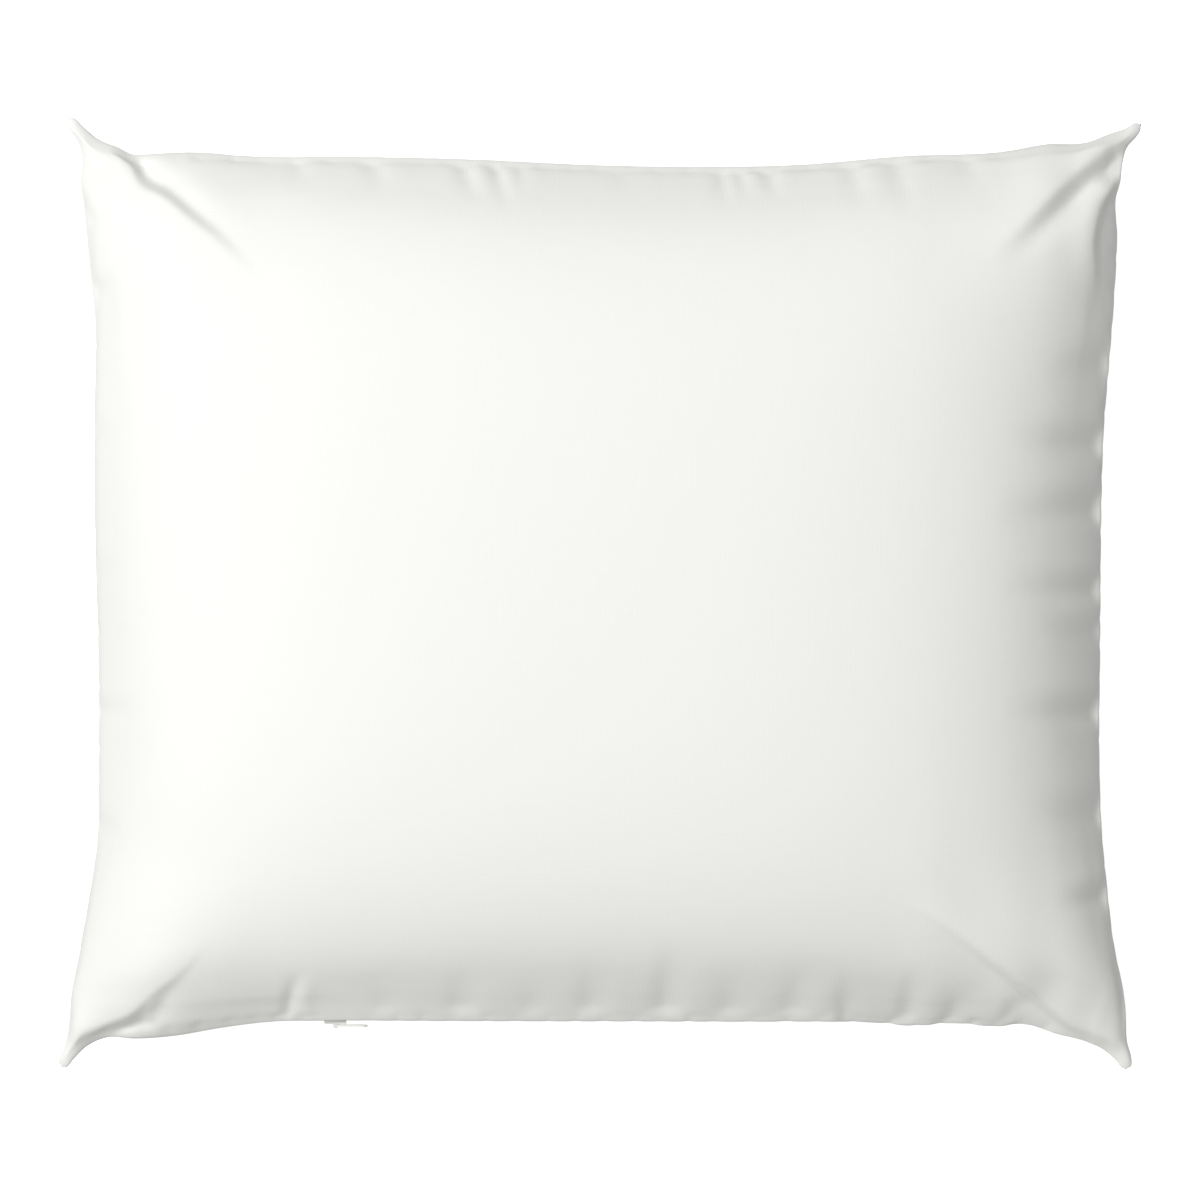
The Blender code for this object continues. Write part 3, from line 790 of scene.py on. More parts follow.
def folded(grid, side, cut_x, cut_y):
    """The panel with its folds, dents, puckers and rolled seam edge."""
    case = case_settings()
    dx, dy = border_distance(cut_x, cut_y)
    edge = np.minimum(dx[:, None], dy[None, :])
    x, y = grid[..., 0].copy(), grid[..., 1].copy()
    lift = np.zeros_like(x)
    if side == FRONT:
        folds = [fold for name, dents in FRONT_DENTS.items() for fold in dent_folds(name, dents)]
    else:
        folds = back_folds()
    for fold in folds:
        lift += fold_height(x, y, *fold)
    lift *= smooth(edge / 0.012)
    zip_share = near_zip(x, y)
    hold = smooth(edge / 0.007)
    if side == FRONT:
        near_corner = np.hypot(dx[:, None], dy[None, :])
        clear = smooth((near_corner - 0.006) / 0.012) * smooth(edge / 0.010)
        room = grid[..., 2] - seam_heights(grid)
        corner_lift = sum(fold_height(x, y, *fold) for fold in FRONT_FOLDS) * clear
        corner_lift = np.maximum(corner_lift, -DEEPEST_FOLD * room)
        bulge = (1 - np.exp(-edge / 0.0012)) * np.exp(-edge / 0.012)
        corner_lift += ZIP_BULGE * bulge * zip_share
    hold_zip = 1 - zip_share * (1 - smooth((edge - 0.004) / 0.010))
    lift *= hold * hold_zip
    drawn = sum(depth * puckers(name, cut_x, cut_y) for name, (_, depth) in PUCKERS.items())
    corner = smooth((np.maximum(dx[:, None], dy[None, :]) - 0.02) / 0.03)
    lift -= PUCKER_DEPTH * drawn * corner * (1 - 0.45 * zip_share)
    grid = grid + normals_of(grid, side) * lift[..., None]
    if side == FRONT:
        grid[..., 2] += corner_lift
    if side == BACK:
        below = (SEAM_Z - grid[..., 2]) / 0.008
        roll = smooth(below) * smooth((0.034 - edge) / 0.03)
        grid[..., 1] -= case.overhang * roll * smooth((0.19 - np.abs(x)) / 0.06) * (y < 0)
        grid[..., 2] = np.maximum(grid[..., 2], 0)
    return seam_edge(grid, side, edge, zip_share, case)


def seam_edge(grid, side, edge, zip_share, case):
    """The panel's edge rolled in to the seam, and opened to the zip's lips."""
    grid = grid.copy()
    columns, rows = grid.shape[:2]
    index = rim_of(columns, rows)
    rim = grid.reshape(-1, 3)[index]
    tangent = np.roll(rim, -1, axis=0) - np.roll(rim, 1, axis=0)
    direction = np.zeros((columns * rows, 2))
    direction[index] = unit(np.stack([-tangent[:, 1], tangent[:, 0]], axis=1))
    direction = direction.reshape(columns, rows, 2)
    for k in range(1, 5):
        for line, border in (
            (np.s_[:, k], np.s_[:, 0]),
            (np.s_[:, -1 - k], np.s_[:, -1]),
            (np.s_[k], np.s_[0]),
            (np.s_[-1 - k], np.s_[-1]),
        ):
            inner = np.linalg.norm(direction[line], axis=-1, keepdims=True) < 0.5
            direction[line] = np.where(inner, direction[border], direction[line])
    depth = case.groove * np.clip(1 - edge / SEAM_ROLL, 0, 1) ** 1.6
    grid[..., :2] += direction * depth[..., None]
    lips = (ZIP_LIPS * zip_share + SEAM_LIPS) * np.clip(1 - edge / 0.004, 0, 1)
    grid[..., 2] += side * lips
    return grid


# Materials


def add_node(tree, kind, settings=None, values=None, links=None):
    """Adds a node, sets its settings and input values, and links its inputs."""
    node = tree.nodes.new(kind)
    for key, value in (settings or {}).items():
        setattr(node, key, value)
    for key, value in (values or {}).items():
        node.inputs[key].default_value = value
    for key, source in (links or {}).items():
        tree.links.new(source, node.inputs[key])
    return node


def new_material(name, colour_value, roughness, **values):
    """A material whose shader has the values that are the same all over."""
    material = bpy.data.materials.new(name)
    material.use_nodes = True
    shader = material.node_tree.nodes["Principled BSDF"]
    shader.inputs["Base Color"].default_value = (*colour_value, 1)
    shader.inputs["Roughness"].default_value = roughness
    for key, value in values.items():
        socket = key if key == "IOR" else key.replace("_", " ").title()
        shader.inputs[socket].default_value = value
    return material, material.node_tree, shader


def pattern_places(tree, on_cloth):
    """Where a pattern lies: on the flat cloth, so that threads follow the cut, or in the solid."""
    if on_cloth:
        node = add_node(tree, "ShaderNodeAttribute", {"attribute_name": "flat_cut"})
        return node.outputs["Vector"]
    return add_node(tree, "ShaderNodeTexCoord").outputs["Object"]


def thread_waves(tree, places, spacing):
    """Heights of warp and weft, a plain weave when multiplied."""
    waves = []
    for direction in ("X", "Y"):
        wave = add_node(
            tree,
            "ShaderNodeTexWave",
            {"wave_type": "BANDS", "bands_direction": direction, "wave_profile": "SIN"},
            {"Scale": WAVE_REPEAT / spacing, "Distortion": 0},
            {"Vector": places},
        )
        waves.append(wave.outputs["Fac"])
    return waves


def patterned(tree, shader, base, tone, dark_share, reliefs):
    """Shades the base colour by a tone, down to a darker share of it, and raises the surface
    by each relief's height, distance and strength in turn."""
    darker = tuple(c * dark_share for c in base)
    shades = {6: (*darker, 1), 7: (*base, 1)}
    mix = add_node(tree, "ShaderNodeMix", {"data_type": "RGBA"}, shades, {0: tone})
    tree.links.new(mix.outputs[2], shader.inputs["Base Color"])
    before = {}
    for height, distance, strength in reliefs:
        bump = add_node(
            tree,
            "ShaderNodeBump",
            None,
            {"Distance": distance, "Strength": strength},
            {"Height": height, **before},
        )
        before = {"Normal": bump.outputs["Normal"]}
    tree.links.new(before["Normal"], shader.inputs["Normal"])


def woven_cotton(name, base, spacing, drawn, roughness):
    """Plain woven cotton, bleached. Matt with a faint soft sheen at grazing angles; a close
    look shows crossing threads, a few thicker ones and very slight creasing.
    The threads are spaced at the real spacing times drawn."""
    material, tree, shader = new_material(
        name, base, roughness, IOR=1.47, sheen_weight=0.12, sheen_roughness=0.5
    )
    places = pattern_places(tree, True)
    warp, weft = thread_waves(tree, places, spacing * drawn)
    weave = add_node(tree, "ShaderNodeMath", {"operation": "MULTIPLY"}, None, {0: warp, 1: weft})
    slubs = {}
    for number, stretch in enumerate(((SLUB_STRETCH, 1, 1), (1, SLUB_STRETCH, 1))):
        mapped = add_node(tree, "ShaderNodeMapping", None, {"Scale": stretch}, {"Vector": places})
        slubs[number] = add_node(
            tree,
            "ShaderNodeTexNoise",
            None,
            {"Scale": SLUBS, "Detail": 2, "Roughness": 0.5},
            {"Vector": mapped.outputs["Vector"]},
        ).outputs["Fac"]
    slub = add_node(tree, "ShaderNodeMath", {"operation": "MULTIPLY"}, None, slubs)
    tone = add_node(
        tree,
        "ShaderNodeMath",
        {"operation": "MULTIPLY_ADD"},
        {1: 0.2},
        {0: weave.outputs[0], 2: slub.outputs[0]},
    )
    creases = add_node(
        tree,
        "ShaderNodeTexNoise",
        None,
        {"Scale": CREASES, "Detail": 3, "Roughness": 0.55},
        {"Vector": places},
    )
    reliefs = (
        (creases.outputs["Fac"], 0.0007, 0.25),
        (weave.outputs[0], 0.00004, 0.5),
        (slub.outputs[0], 0.0001, 0.4),
    )
    patterned(tree, shader, base, tone.outputs[0], 0.975, reliefs)
    return material


def percale_cotton(case):
    # real threads, 0.3 mm apart, are too fine to show and are drawn six times as coarse
    return woven_cotton("bleached_cotton_percale_woven", tuple(case.percale), case.thread, 6, 0.82)


def ticking_cotton(inner, case):
    # ticking's threads are a little thicker than percale's
    name = "cotton_ticking_downproof_woven"
    return woven_cotton(name, tuple(inner.ticking), case.thread, 1.2, 0.78)


def thread_material(case):
    """Spun polyester sewing thread, overlocked. Slightly glossier than the cloth, ridged
    across the seam."""
    base = tuple(case.stitching)
    material, tree, shader = new_material("polyester_thread_overlocked", base, 0.55, IOR=1.54)
    ridges = add_node(
        tree,
        "ShaderNodeTexWave",
        {"wave_type": "BANDS", "bands_direction": "X"},
        {"Scale": WAVE_REPEAT / OVERLOCK_STITCH, "Distortion": 0.6, "Detail": 2},
        {"Vector": pattern_places(tree, True)},
    ).outputs["Fac"]
    patterned(tree, shader, base, ridges, 0.9, [(ridges, 0.0002, 0.6)])
    return material


def tape_material(zipper):
    """Woven polyester zip tape. A fine herringbone rib and a dull satin look."""
    base = tuple(zipper.tape_colour)
    material, tree, shader = new_material("polyester_tape_woven", base, 0.6, IOR=1.57)
    warp, weft = thread_waves(tree, pattern_places(tree, True), TAPE_RIB)
    rib = add_node(tree, "ShaderNodeMath", {"operation": "ADD"}, None, {0: warp, 1: weft})
    patterned(tree, shader, base, rib.outputs[0], 0.93, [(rib.outputs[0], 0.00006, 0.5)])
    return material


def solid_material(name, base, roughness, grain, detail, dark_share, relief, **values):
    """A hard material with an even, fine grain over its surface."""
    material, tree, shader = new_material(name, base, roughness, **values)
    noise = add_node(
        tree,
        "ShaderNodeTexNoise",
        None,
        {"Scale": grain, "Detail": detail},
        {"Vector": pattern_places(tree, False)},
    ).outputs["Fac"]
    patterned(tree, shader, base, noise, dark_share, [(noise, *relief)])
    return material


def nylon_material(zipper):
    """Nylon monofilament, extruded and coiled. Smooth, faintly see-through gloss with fine
    drawing marks."""
    name, base = "nylon_monofilament_coiled", tuple(zipper.nylon)
    return solid_material(name, base, 0.3, DRAWING_MARKS, 3, 0.95, (0.00003, 0.3), IOR=1.53)


def lacquer_material(zipper):
    """Die-cast zinc, stove-lacquered white. An even skin with slight orange peel and a soft
    highlight."""
    name, base = "zinc_die_cast_lacquered", tuple(zipper.lacquer)
    relief = (0.00005, 0.35)
    return solid_material(
        name, base, 0.28, ORANGE_PEEL, 2, 0.96, relief, IOR=1.5, coat_weight=0.4
    )


def ribbon_material(inner):
    """Polyester satin ribbon, woven. Long floats give a smooth, streaky shine."""
    base = tuple(inner.ribbon)
    material, tree, shader = new_material(
        "polyester_satin_woven", base, 0.38, IOR=1.57, sheen_weight=0.2
    )
    warp, _ = thread_waves(tree, pattern_places(tree, True), RIBBON_THREAD)
    patterned(tree, shader, base, warp, 0.95, [(warp, 0.00003, 0.4)])
    return material


def fibre_material(inner):
    """Siliconised polyester fibre, carded. A soft mass of fine crossing hairs."""
    base = tuple(inner.fibre)
    material, tree, shader = new_material(
        "polyester_fibre_carded", base, 0.9, IOR=1.57, sheen_weight=0.4
    )
    places = pattern_places(tree, False)
    tufts, hairs = (
        add_node(
            tree, "ShaderNodeTexNoise", None, {"Scale": scale, "Detail": detail}, {"Vector": places}
        ).outputs["Fac"]
        for scale, detail in ((FIBRE_TUFTS, 5), (FIBRE_HAIRS, 4))
    )
    hair = add_node(tree, "ShaderNodeMath", {"operation": "MULTIPLY"}, None, {0: tufts, 1: hairs})
    patterned(tree, shader, base, tufts, 0.88, [(hair.outputs[0], 0.0015, 0.7)])
    return material


# Pieces


def cut_points(cut_x, cut_y):
    """Places on the flat cut for the two faces of a sheet."""
    x, y = np.meshgrid(cut_x, cut_y, indexing="ij")
    one = np.stack([x, y, np.zeros_like(x)], axis=-1).reshape(-1, 3)
    return np.concatenate([one, one])


def seam_places(path, count):
    """Places along a band's path, with four points to each of its steps."""
    places = np.zeros((count, 3))
    places[:, 0] = np.repeat(path, 4)
    return places


def place_on(grid, cut_x, cut_y, x, y):
    """Points of a panel's grid at places on the flat cut."""
    i = np.clip(np.searchsorted(cut_x, x) - 1, 0, len(cut_x) - 2)
    j = np.clip(np.searchsorted(cut_y, y) - 1, 0, len(cut_y) - 2)
    s = ((x - cut_x[i]) / (cut_x[i + 1] - cut_x[i]))[..., None]
    t = ((y - cut_y[j]) / (cut_y[j + 1] - cut_y[j]))[..., None]
    low = (1 - s) * grid[i, j] + s * grid[i + 1, j]
    high = (1 - s) * grid[i, j + 1] + s * grid[i + 1, j + 1]
    return (1 - t) * low + t * high


def finish_piece(piece, body, slot, *nodes):
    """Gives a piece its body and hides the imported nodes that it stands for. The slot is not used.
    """
    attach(piece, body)
    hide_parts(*nodes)


class PILLOW_OT_case_panels(bpy.types.Operator):
    """Builds the case's front and back panels around the filling"""

    bl_idname = "pillow.case_panels"
    bl_label = "Case Panels"

    def execute(self, context):
        case = context.scene.pillow_case
        surfaces, cut_x, cut_y = case_surfaces()
        material = percale_cotton(case)
        for side, name, node in (
            (FRONT, "percale_front", "case_front_panel"),
            (BACK, "percale_back", "case_back_panel"),
        ):
            outer = surfaces[side]
            inner = outer - normals_of(outer, side) * case.cloth
            points, faces = shell_mesh(outer, inner, side)
            piece = mesh_object(name, points, faces, material, cut_points(cut_x, cut_y))
            finish_piece(piece, "pillow", "case_cotton", node)
        return {"FINISHED"}


def band_mesh(outer, inner, thickness, closed):
    """Points and quads of a flat band between two paths."""
    count = len(outer)
    up = np.array([0, 0, thickness / 2])
    rings = np.stack([outer - up, outer + up, inner + up, inner - up], axis=1)
    steps = count if closed else count - 1
    k = np.arange(steps)
    after = (k + 1) % count
    faces = []
    for c in range(4):
        d = (c + 1) % 4
        faces.append(np.stack([4 * k + c, 4 * after + c, 4 * after + d, 4 * k + d], axis=1))
    faces = np.concatenate(faces)
    if not closed:
        last = 4 * (count - 1)
        caps = np.array([[0, 1, 2, 3], [last + 3, last + 2, last + 1, last]])
        faces = np.concatenate([faces, caps])
    return rings.reshape(-1, 3), faces


def joined(parts):
    """Several meshes' points and faces as one mesh's."""
    points, faces, start = [], [], 0
    for p, f in parts:
        points.append(p)
        faces.append(f + start)
        start += len(p)
    return np.concatenate(points), np.concatenate(faces)


class PILLOW_OT_case_seam(bpy.types.Operator):
    """Builds the overlocked allowance that joins the case's panels, turned inside"""

    bl_idname = "pillow.case_seam"
    bl_label = "Case Seam"

    def execute(self, context):
        case = context.scene.pillow_case
        low, high = ALLOWANCE_SHARES
        before_zip = 0.5 + (ZIP_FROM - ZIP_CLEARANCE) / SEAM_SPAN
        after_zip = 0.5 + (ZIP_TO + ZIP_CLEARANCE) / SEAM_SPAN
        # the last value is 1 where the inside lies to the right of the line as it runs
        runs = (
            (SEAM_LEFT, low, high, 1),
            (SEAM_RIGHT, low, high, -1),
            (SEAM_TOP, low, high, 1),
            (SEAM_BOTTOM, low, before_zip, -1),
            (SEAM_BOTTOM, after_zip, high, -1),
        )
        parts = []
        along = []
        for knots, first, last, turn in runs:
            line = smooth_line(knots)
            count = round(lengths_along(line)[-1] * (last - first) / 0.002)
            path = at_shares(line, np.linspace(first, last, count))
            tangent = unit(np.gradient(path, axis=0))
            inwards = turn * np.stack([tangent[:, 1], -tangent[:, 0]], axis=1)
            ripple = 0.0004 * np.sin(np.arange(count) * 2.2)
            wave = 0.0003 * np.sin(np.arange(count) * 0.9)
            heights = seam_heights(path) + wave
            near, far = ALLOWANCE
            outer = np.column_stack([path + inwards * near, heights])
            inner = np.column_stack([path + inwards * (far + ripple)[:, None], heights])
            parts.append(band_mesh(outer, inner, ALLOWANCE_THICKNESS, False))
            along.append(lengths_along(path))
        points, faces = joined(parts)
        places = seam_places(np.concatenate(along), len(points))
        material = thread_material(case)
        piece = mesh_object("case_overlocked_allowance", points, faces, material, places)
        finish_piece(piece, "pillow", "seam_thread", "case_overlock_seam")
        return {"FINISHED"}


class PILLOW_OT_zip_tapes(bpy.types.Operator):
    """Builds the two tapes that are sewn inside the panels"""

    bl_idname = "pillow.zip_tapes"
    bl_label = "Zip Tapes"

    def execute(self, context):
        case, zipper = context.scene.pillow_case, context.scene.pillow_zip
        surfaces, cut_x, cut_y = case_surfaces()
        material = tape_material(zipper)
        for side, name, node in (
            (FRONT, "zip_tape_upper", "zip_tape_front"),
            (BACK, "zip_tape_lower", "zip_tape_back"),
        ):
            grid = surfaces[side]
            edge_x = grid[:, 0, 0]
            ends = np.interp([ZIP_FROM, ZIP_TO], edge_x, cut_x)
            across_tape = np.linspace(TAPE_INSET, TAPE_INSET + zipper.tape_width, 9)
            xs, ys = np.meshgrid(np.linspace(*ends, 150), across_tape, indexing="ij")
            base = place_on(grid, cut_x, cut_y, xs, ys)
            out = unit(place_on(normals_of(grid, side), cut_x, cut_y, xs, ys))
            near = base - out * (case.cloth + TAPE_GAP)
            far = near - out * zipper.tape
            points, faces = shell_mesh(near, far, side)
            places = np.stack([xs, ys, 0 * xs], axis=-1).reshape(-1, 3)
            piece = mesh_object(name, points, faces, material, np.concatenate([places, places]))
            finish_piece(piece, "pillow", "zip_tape", node)
        return {"FINISHED"}


def coil_mesh(zipper, side):
    """One coil: a wire wound round the coil's axis, flattened towards the seam."""
    turns = (COIL_TO - COIL_FROM) / zipper.pitch
    steps = round(turns * COIL_STEPS)
    angle = np.linspace(0, 2 * math.pi * turns, steps)
    reach = COIL_RADIUS - zipper.wire
    x = np.linspace(COIL_FROM + zipper.wire, COIL_TO - zipper.wire, steps)
    y = COIL_Y + reach * np.cos(angle)
    z = SEAM_Z + COIL_LIFT * side + reach * np.sin(angle)
    path = np.column_stack([x, y, z])
    tangent = unit(np.gradient(path, axis=0))
    first = np.column_stack([np.zeros(steps), np.cos(angle), np.sin(angle)])
    second = np.cross(tangent, first)
    rings = []
    for k in range(WIRE_SIDES):
        a = 2 * math.pi * k / WIRE_SIDES
        rings.append(path + zipper.wire * (math.cos(a) * first + math.sin(a) * second))
    i, j = np.meshgrid(np.arange(steps - 1), np.arange(WIRE_SIDES), indexing="ij")
    a = (i * WIRE_SIDES + j).ravel()
    b = (i * WIRE_SIDES + (j + 1) % WIRE_SIDES).ravel()
    quads = np.stack([a, a + WIRE_SIDES, b + WIRE_SIDES, b], axis=1)
    ring = np.arange(WIRE_SIDES)
    caps = [ring, WIRE_SIDES * (steps - 1) + ring[::-1]]
    return np.stack(rings, axis=1).reshape(-1, 3), [*quads, *caps]


class PILLOW_OT_zip_coils(bpy.types.Operator):
    """Winds the two nylon coils"""

    bl_idname = "pillow.zip_coils"
    bl_label = "Zip Coils"

    def execute(self, context):
        zipper = context.scene.pillow_zip
        material = nylon_material(zipper)
        for side, name, node in (
            (FRONT, "zip_coil_upper", "zip_coil_front"),
            (BACK, "zip_coil_lower", "zip_coil_back"),
        ):
            points, faces = coil_mesh(zipper, side)
            piece = mesh_object(name, points, faces, material)
            finish_piece(piece, "pillow", "zip_coil", node)
        return {"FINISHED"}


class PILLOW_OT_zip_fittings(bpy.types.Operator):
    """Finishes the zip's stops, slider and puller"""

    bl_idname = "pillow.zip_fittings"
    bl_label = "Zip Fittings"

    def execute(self, context):
        zipper = context.scene.pillow_zip
        nylon = bpy.data.materials.get("nylon_monofilament_coiled") or nylon_material(zipper)
        lacquer = lacquer_material(zipper)
        for node, material in (
            ("zip_stop_left", nylon),
            ("zip_stop_right", nylon),
            ("zip_slider", lacquer),
            ("zip_puller", lacquer),
        ):
            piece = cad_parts[node]
            piece.data.materials.clear()
            piece.data.materials.append(material)
            bevel = piece.modifiers.new("rounded_edges", "BEVEL")
            bevel.width = 0.00012
            bevel.segments = 2
            bevel.limit_method = "ANGLE"
        return {"FINISHED"}


def inner_shape(inner, side, shrink=0.0):
    """The inner pillow's shape, drawn in by a distance."""
    crown = {FRONT: TOP_Z - SEAM_Z - 0.0042, BACK: SEAM_Z - 0.0016}[side]
    return (
        inner.half_width - shrink,
        inner.half_depth - shrink,
        crown - shrink,
        0.003,
        (0.004, 0.005),
    )


def inner_grid(inner, side, shrink=0.0, columns=120):
    """A grid over the inner pillow's panel, with a few soft hollows."""
    rows = round(columns * 0.855)
    grid = even_grid(side, columns, rows, *inner_shape(inner, side, shrink))
    x, y = grid[..., 0], grid[..., 1]
    hollow = np.sin(x * 52 + 1.2) * np.sin(y * 61 + 0.5) + 0.6 * np.sin(x * 97 - y * 83)
    depth = (grid[..., 2] - SEAM_Z) * side / 0.05
    grid[..., 2] -= side * 0.0005 * (1.6 + hollow) * smooth(depth)
    grid[..., 2] = np.maximum(grid[..., 2], 0.0012 + shrink)
    return grid


class PILLOW_OT_ticking_panels(bpy.types.Operator):
    """Builds the inner pillow's two panels"""

    bl_idname = "pillow.ticking_panels"
    bl_label = "Ticking Panels"

    def execute(self, context):
        case, inner = context.scene.pillow_case, context.scene.pillow_inner
        material = ticking_cotton(inner, case)
        for side, name, node in (
            (FRONT, "ticking_front_cloth", "ticking_front"),
            (BACK, "ticking_back_cloth", "ticking_back"),
        ):
            outer = inner_grid(inner, side)
            outer[..., 2] += side * 0.0003
            thin = normals_of(outer, side) * inner.cloth
            points, faces = shell_mesh(outer, outer - thin, side)
            columns, rows = outer.shape[:2]
            places = cut_points(*(np.linspace(0, *n) for n in zip(TICKING_CUT, (columns, rows))))
            piece = mesh_object(name, points, faces, material, places)
            finish_piece(piece, "pillow", "ticking_cotton", node)
        return {"FINISHED"}


class PILLOW_OT_ticking_seam(bpy.types.Operator):
    """Builds the inner pillow's overlocked seam"""

    bl_idname = "pillow.ticking_seam"
    bl_label = "Ticking Seam"

    def execute(self, context):
        inner = context.scene.pillow_inner
        rim_grid = even_grid(FRONT, 160, 136, *inner_shape(inner, FRONT))
        index = rim_of(*rim_grid.shape[:2])
        path = rim_grid.reshape(-1, 3)[index][:, :2]
        tangent = unit(np.roll(path, -1, axis=0) - np.roll(path, 1, axis=0))
        inwards = np.stack([-tangent[:, 1], tangent[:, 0]], axis=1)
        wave = 0.0003 * np.sin(np.arange(len(path)) * 1.1)
        level = np.full(len(path), SEAM_Z)
        outer = np.column_stack([path - inwards * (0.0022 + wave)[:, None], level])
        near = np.column_stack([path - inwards * 0.0003, level])
        points, faces = band_mesh(outer, near, 0.0007, True)
        places = seam_places(lengths_along(path), len(points))
        material = bpy.data.materials["polyester_thread_overlocked"]
        piece = mesh_object("ticking_overlocked_seam", points, faces, material, places)
        finish_piece(piece, "pillow", "seam_thread", "ticking_overlock_seam")
        return {"FINISHED"}


class PILLOW_OT_filling(bpy.types.Operator):
    """Builds the fibre filling"""

    bl_idname = "pillow.filling"
    bl_label = "Fibre Filling"

    def execute(self, context):
        inner = context.scene.pillow_inner
        gap = inner.cloth + inner.fill_gap + 0.0006
        front = inner_grid(inner, FRONT, gap)
        back = inner_grid(inner, BACK, gap)
        columns, rows = front.shape[:2]
        random = np.random.default_rng(12)
        tufts = np.zeros((columns, rows))
        for _ in range(70):
            i, j = random.uniform(0, columns), random.uniform(0, rows)
            size = random.uniform(3, 8)
            a, b = np.meshgrid(np.arange(columns) - i, np.arange(rows) - j, indexing="ij")
            tufts += random.uniform(0.2, 0.9) * np.exp(-(a * a + b * b) / size**2)
        edge = np.minimum.outer(
            np.minimum(np.arange(columns), columns - 1 - np.arange(columns)),
            np.minimum(np.arange(rows), rows - 1 - np.arange(rows)),
        )
        tufts *= smooth(edge / 10)
        front[..., 2] -= 0.0010 * tufts
        back[..., 2] += 0.0006 * tufts
        points, faces = shell_mesh(front, back, FRONT)
        points, faces = welded(points, faces, rim_of(columns, rows))
        piece = mesh_object("fibre_filling", points, faces, fibre_material(inner))
        finish_piece(piece, "pillow", "fibre_fill", "fill_core")
        return {"FINISHED"}


def welded(points, faces, rim):
    """The shell with its two borders made one."""
    count = len(points) // 2
    points = points.copy()
    points[rim] = (points[rim] + points[rim + count]) / 2
    target = np.arange(len(points))
    target[rim + count] = rim
    faces = target[faces]
    keep = np.array([len(set(f)) == 4 for f in faces])
    faces = faces[keep]
    used, fresh = np.unique(faces, return_inverse=True)
    return points[used], fresh.reshape(faces.shape)


class PILLOW_OT_care_label(bpy.types.Operator):
    """Builds the blank care label, folded double in the inner pillow's seam"""

    bl_idname = "pillow.care_label"
    bl_label = "Care Label"

    def execute(self, context):
        inner = context.scene.pillow_inner
        across = np.linspace(LABEL_FROM, LABEL_TO, LABEL_CELLS[0])
        line = at_shares(smooth_line(LABEL_LINE, 400), np.linspace(0, 1, LABEL_CELLS[1]))
        grid = np.zeros((len(across), len(line), 3))
        grid[..., 0] = across[:, None]
        ripple = 0.0003 * np.sin(across * 260)
        grid[..., 1] = line[None, :, 0] - inner.half_depth + ripple[:, None]
        grid[..., 2] = SEAM_Z + line[None, :, 1]
        thin = normals_of(grid, 1) * 0.0001
        points, faces = shell_mesh(grid + thin, grid - thin, FRONT)
        extent = (LABEL_SIZE[0], LABEL_PATTERN)
        places = cut_points(*(np.linspace(0, *n) for n in zip(extent, LABEL_CELLS)))
        piece = mesh_object("care_label_ribbon", points, faces, ribbon_material(inner), places)
        finish_piece(piece, "pillow", "label_satin", "care_label")
        return {"FINISHED"}


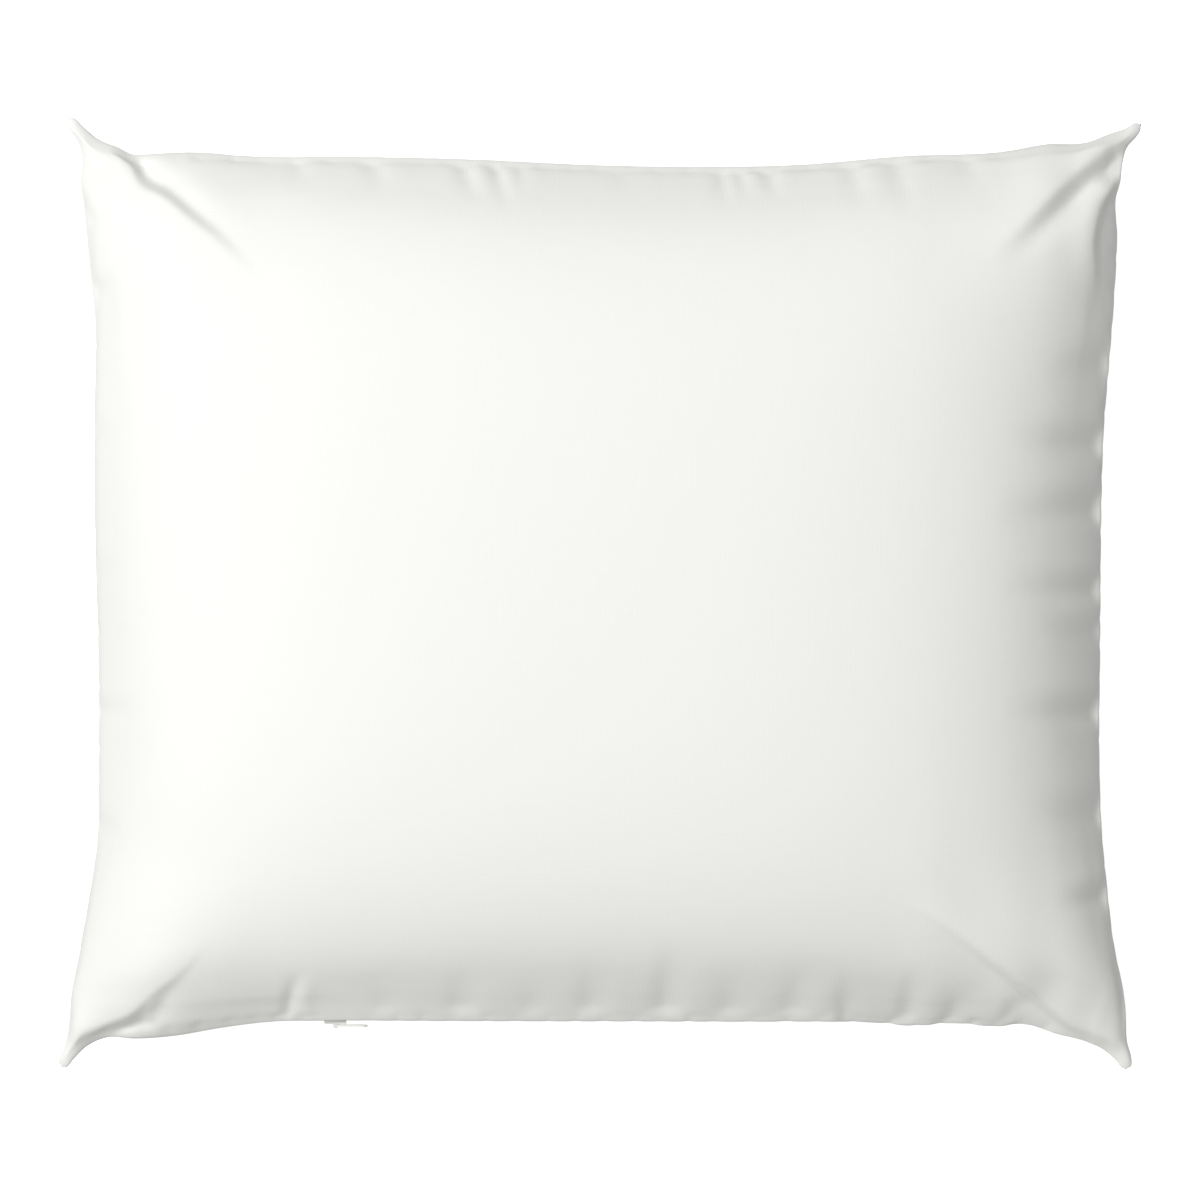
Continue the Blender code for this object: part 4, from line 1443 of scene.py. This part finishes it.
class PILLOW_OT_stage(bpy.types.Operator):
    """Sets the pale floor, the soft lights and the camera"""

    bl_idname = "pillow.stage"
    bl_label = "Stage"

    def execute(self, context):
        scene, stage = context.scene, context.scene.pillow_stage
        self.floor(stage)
        world = bpy.data.worlds.new("studio")
        world.use_nodes = True
        sky = world.node_tree.nodes["Background"]
        sky.inputs["Color"].default_value = (1, 1, 1, 1)
        sky.inputs["Strength"].default_value = stage.sky
        scene.world = world
        self.light("key", KEY_PLACE, KEY_SIZE, stage.key)
        lens = bpy.data.cameras.new("camera")
        lens.lens = stage.lens
        lens.sensor_width = SENSOR_WIDTH
        camera = bpy.data.objects.new("camera", lens)
        distance = stage.view_width * stage.lens / SENSOR_WIDTH
        camera.location = (*CAMERA_PLACE, SEAM_Z + distance)
        lens.clip_start = 0.01
        lens.clip_end = 30
        scene.collection.objects.link(camera)
        scene.camera = camera
        scene.view_settings.view_transform = "Standard"
        scene.view_settings.look = "None"
        return {"FINISHED"}

    def floor(self, stage):
        signs = ((-1, -1), (1, -1), (1, 1), (-1, 1))
        corners = [(FLOOR_HALF * sx, FLOOR_HALF * sy, 0) for sx, sy in signs]
        material, _, shader = new_material("matt_white_light_table", tuple(stage.floor), 0.9)
        shader.inputs["Emission Color"].default_value = (1, 1, 1, 1)
        shader.inputs["Emission Strength"].default_value = stage.floor_glow
        mesh = bpy.data.meshes.new("floor")
        mesh.from_pydata(corners, [], [(0, 1, 2, 3)])
        mesh.materials.append(material)
        floor = bpy.data.objects.new("floor", mesh)
        floor.location.z = -FLOOR_DROP
        # the table's glow whitens the ground without washing out the pillow's shaded side
        floor.visible_diffuse = False
        bpy.context.scene.collection.objects.link(floor)

    def light(self, name, place, size, power):
        lamp = bpy.data.lights.new(name, "AREA")
        lamp.shape = "DISK"
        lamp.size = size
        lamp.energy = power
        light = bpy.data.objects.new(name, lamp)
        light.location = place
        aim = Vector(place) - Vector((0, 0, SEAM_Z))
        light.rotation_euler = aim.to_track_quat("Z", "Y").to_euler()
        bpy.context.scene.collection.objects.link(light)


class PILLOW_PT_panel(bpy.types.Panel):
    """Lists the pillow's settings and the operators that build it"""

    bl_idname = "PILLOW_PT_panel"
    bl_label = "Bed Pillow"
    bl_space_type = "VIEW_3D"
    bl_region_type = "UI"
    bl_category = "Pillow"

    def draw(self, context):
        for name in GROUPS:
            group = getattr(context.scene, name)
            box = self.layout.box()
            for key in group.__annotations__:
                box.prop(group, key)
        for operator in OPERATORS:
            self.layout.operator(operator.bl_idname)


GROUPS = {
    "pillow_case": PillowCaseSettings,
    "pillow_zip": PillowZipSettings,
    "pillow_inner": PillowInnerSettings,
    "pillow_stage": PillowStageSettings,
}
OPERATORS = (
    PILLOW_OT_case_panels,
    PILLOW_OT_case_seam,
    PILLOW_OT_zip_tapes,
    PILLOW_OT_zip_coils,
    PILLOW_OT_zip_fittings,
    PILLOW_OT_ticking_panels,
    PILLOW_OT_ticking_seam,
    PILLOW_OT_filling,
    PILLOW_OT_care_label,
    PILLOW_OT_stage,
)


def register():
    for group in GROUPS.values():
        bpy.utils.register_class(group)
    for name, group in GROUPS.items():
        setattr(bpy.types.Scene, name, bpy.props.PointerProperty(type=group))
    for operator in OPERATORS:
        bpy.utils.register_class(operator)
    bpy.utils.register_class(PILLOW_PT_panel)


def unregister():
    bpy.utils.unregister_class(PILLOW_PT_panel)
    for operator in reversed(OPERATORS):
        bpy.utils.unregister_class(operator)
    for name in GROUPS:
        delattr(bpy.types.Scene, name)
    for group in reversed(GROUPS.values()):
        bpy.utils.unregister_class(group)


def main():
    register()
    for operator in OPERATORS:
        getattr(bpy.ops.pillow, operator.bl_idname.split(".")[1])()
    bpy.context.view_layer.update()


if __name__ == "__main__":
    main()
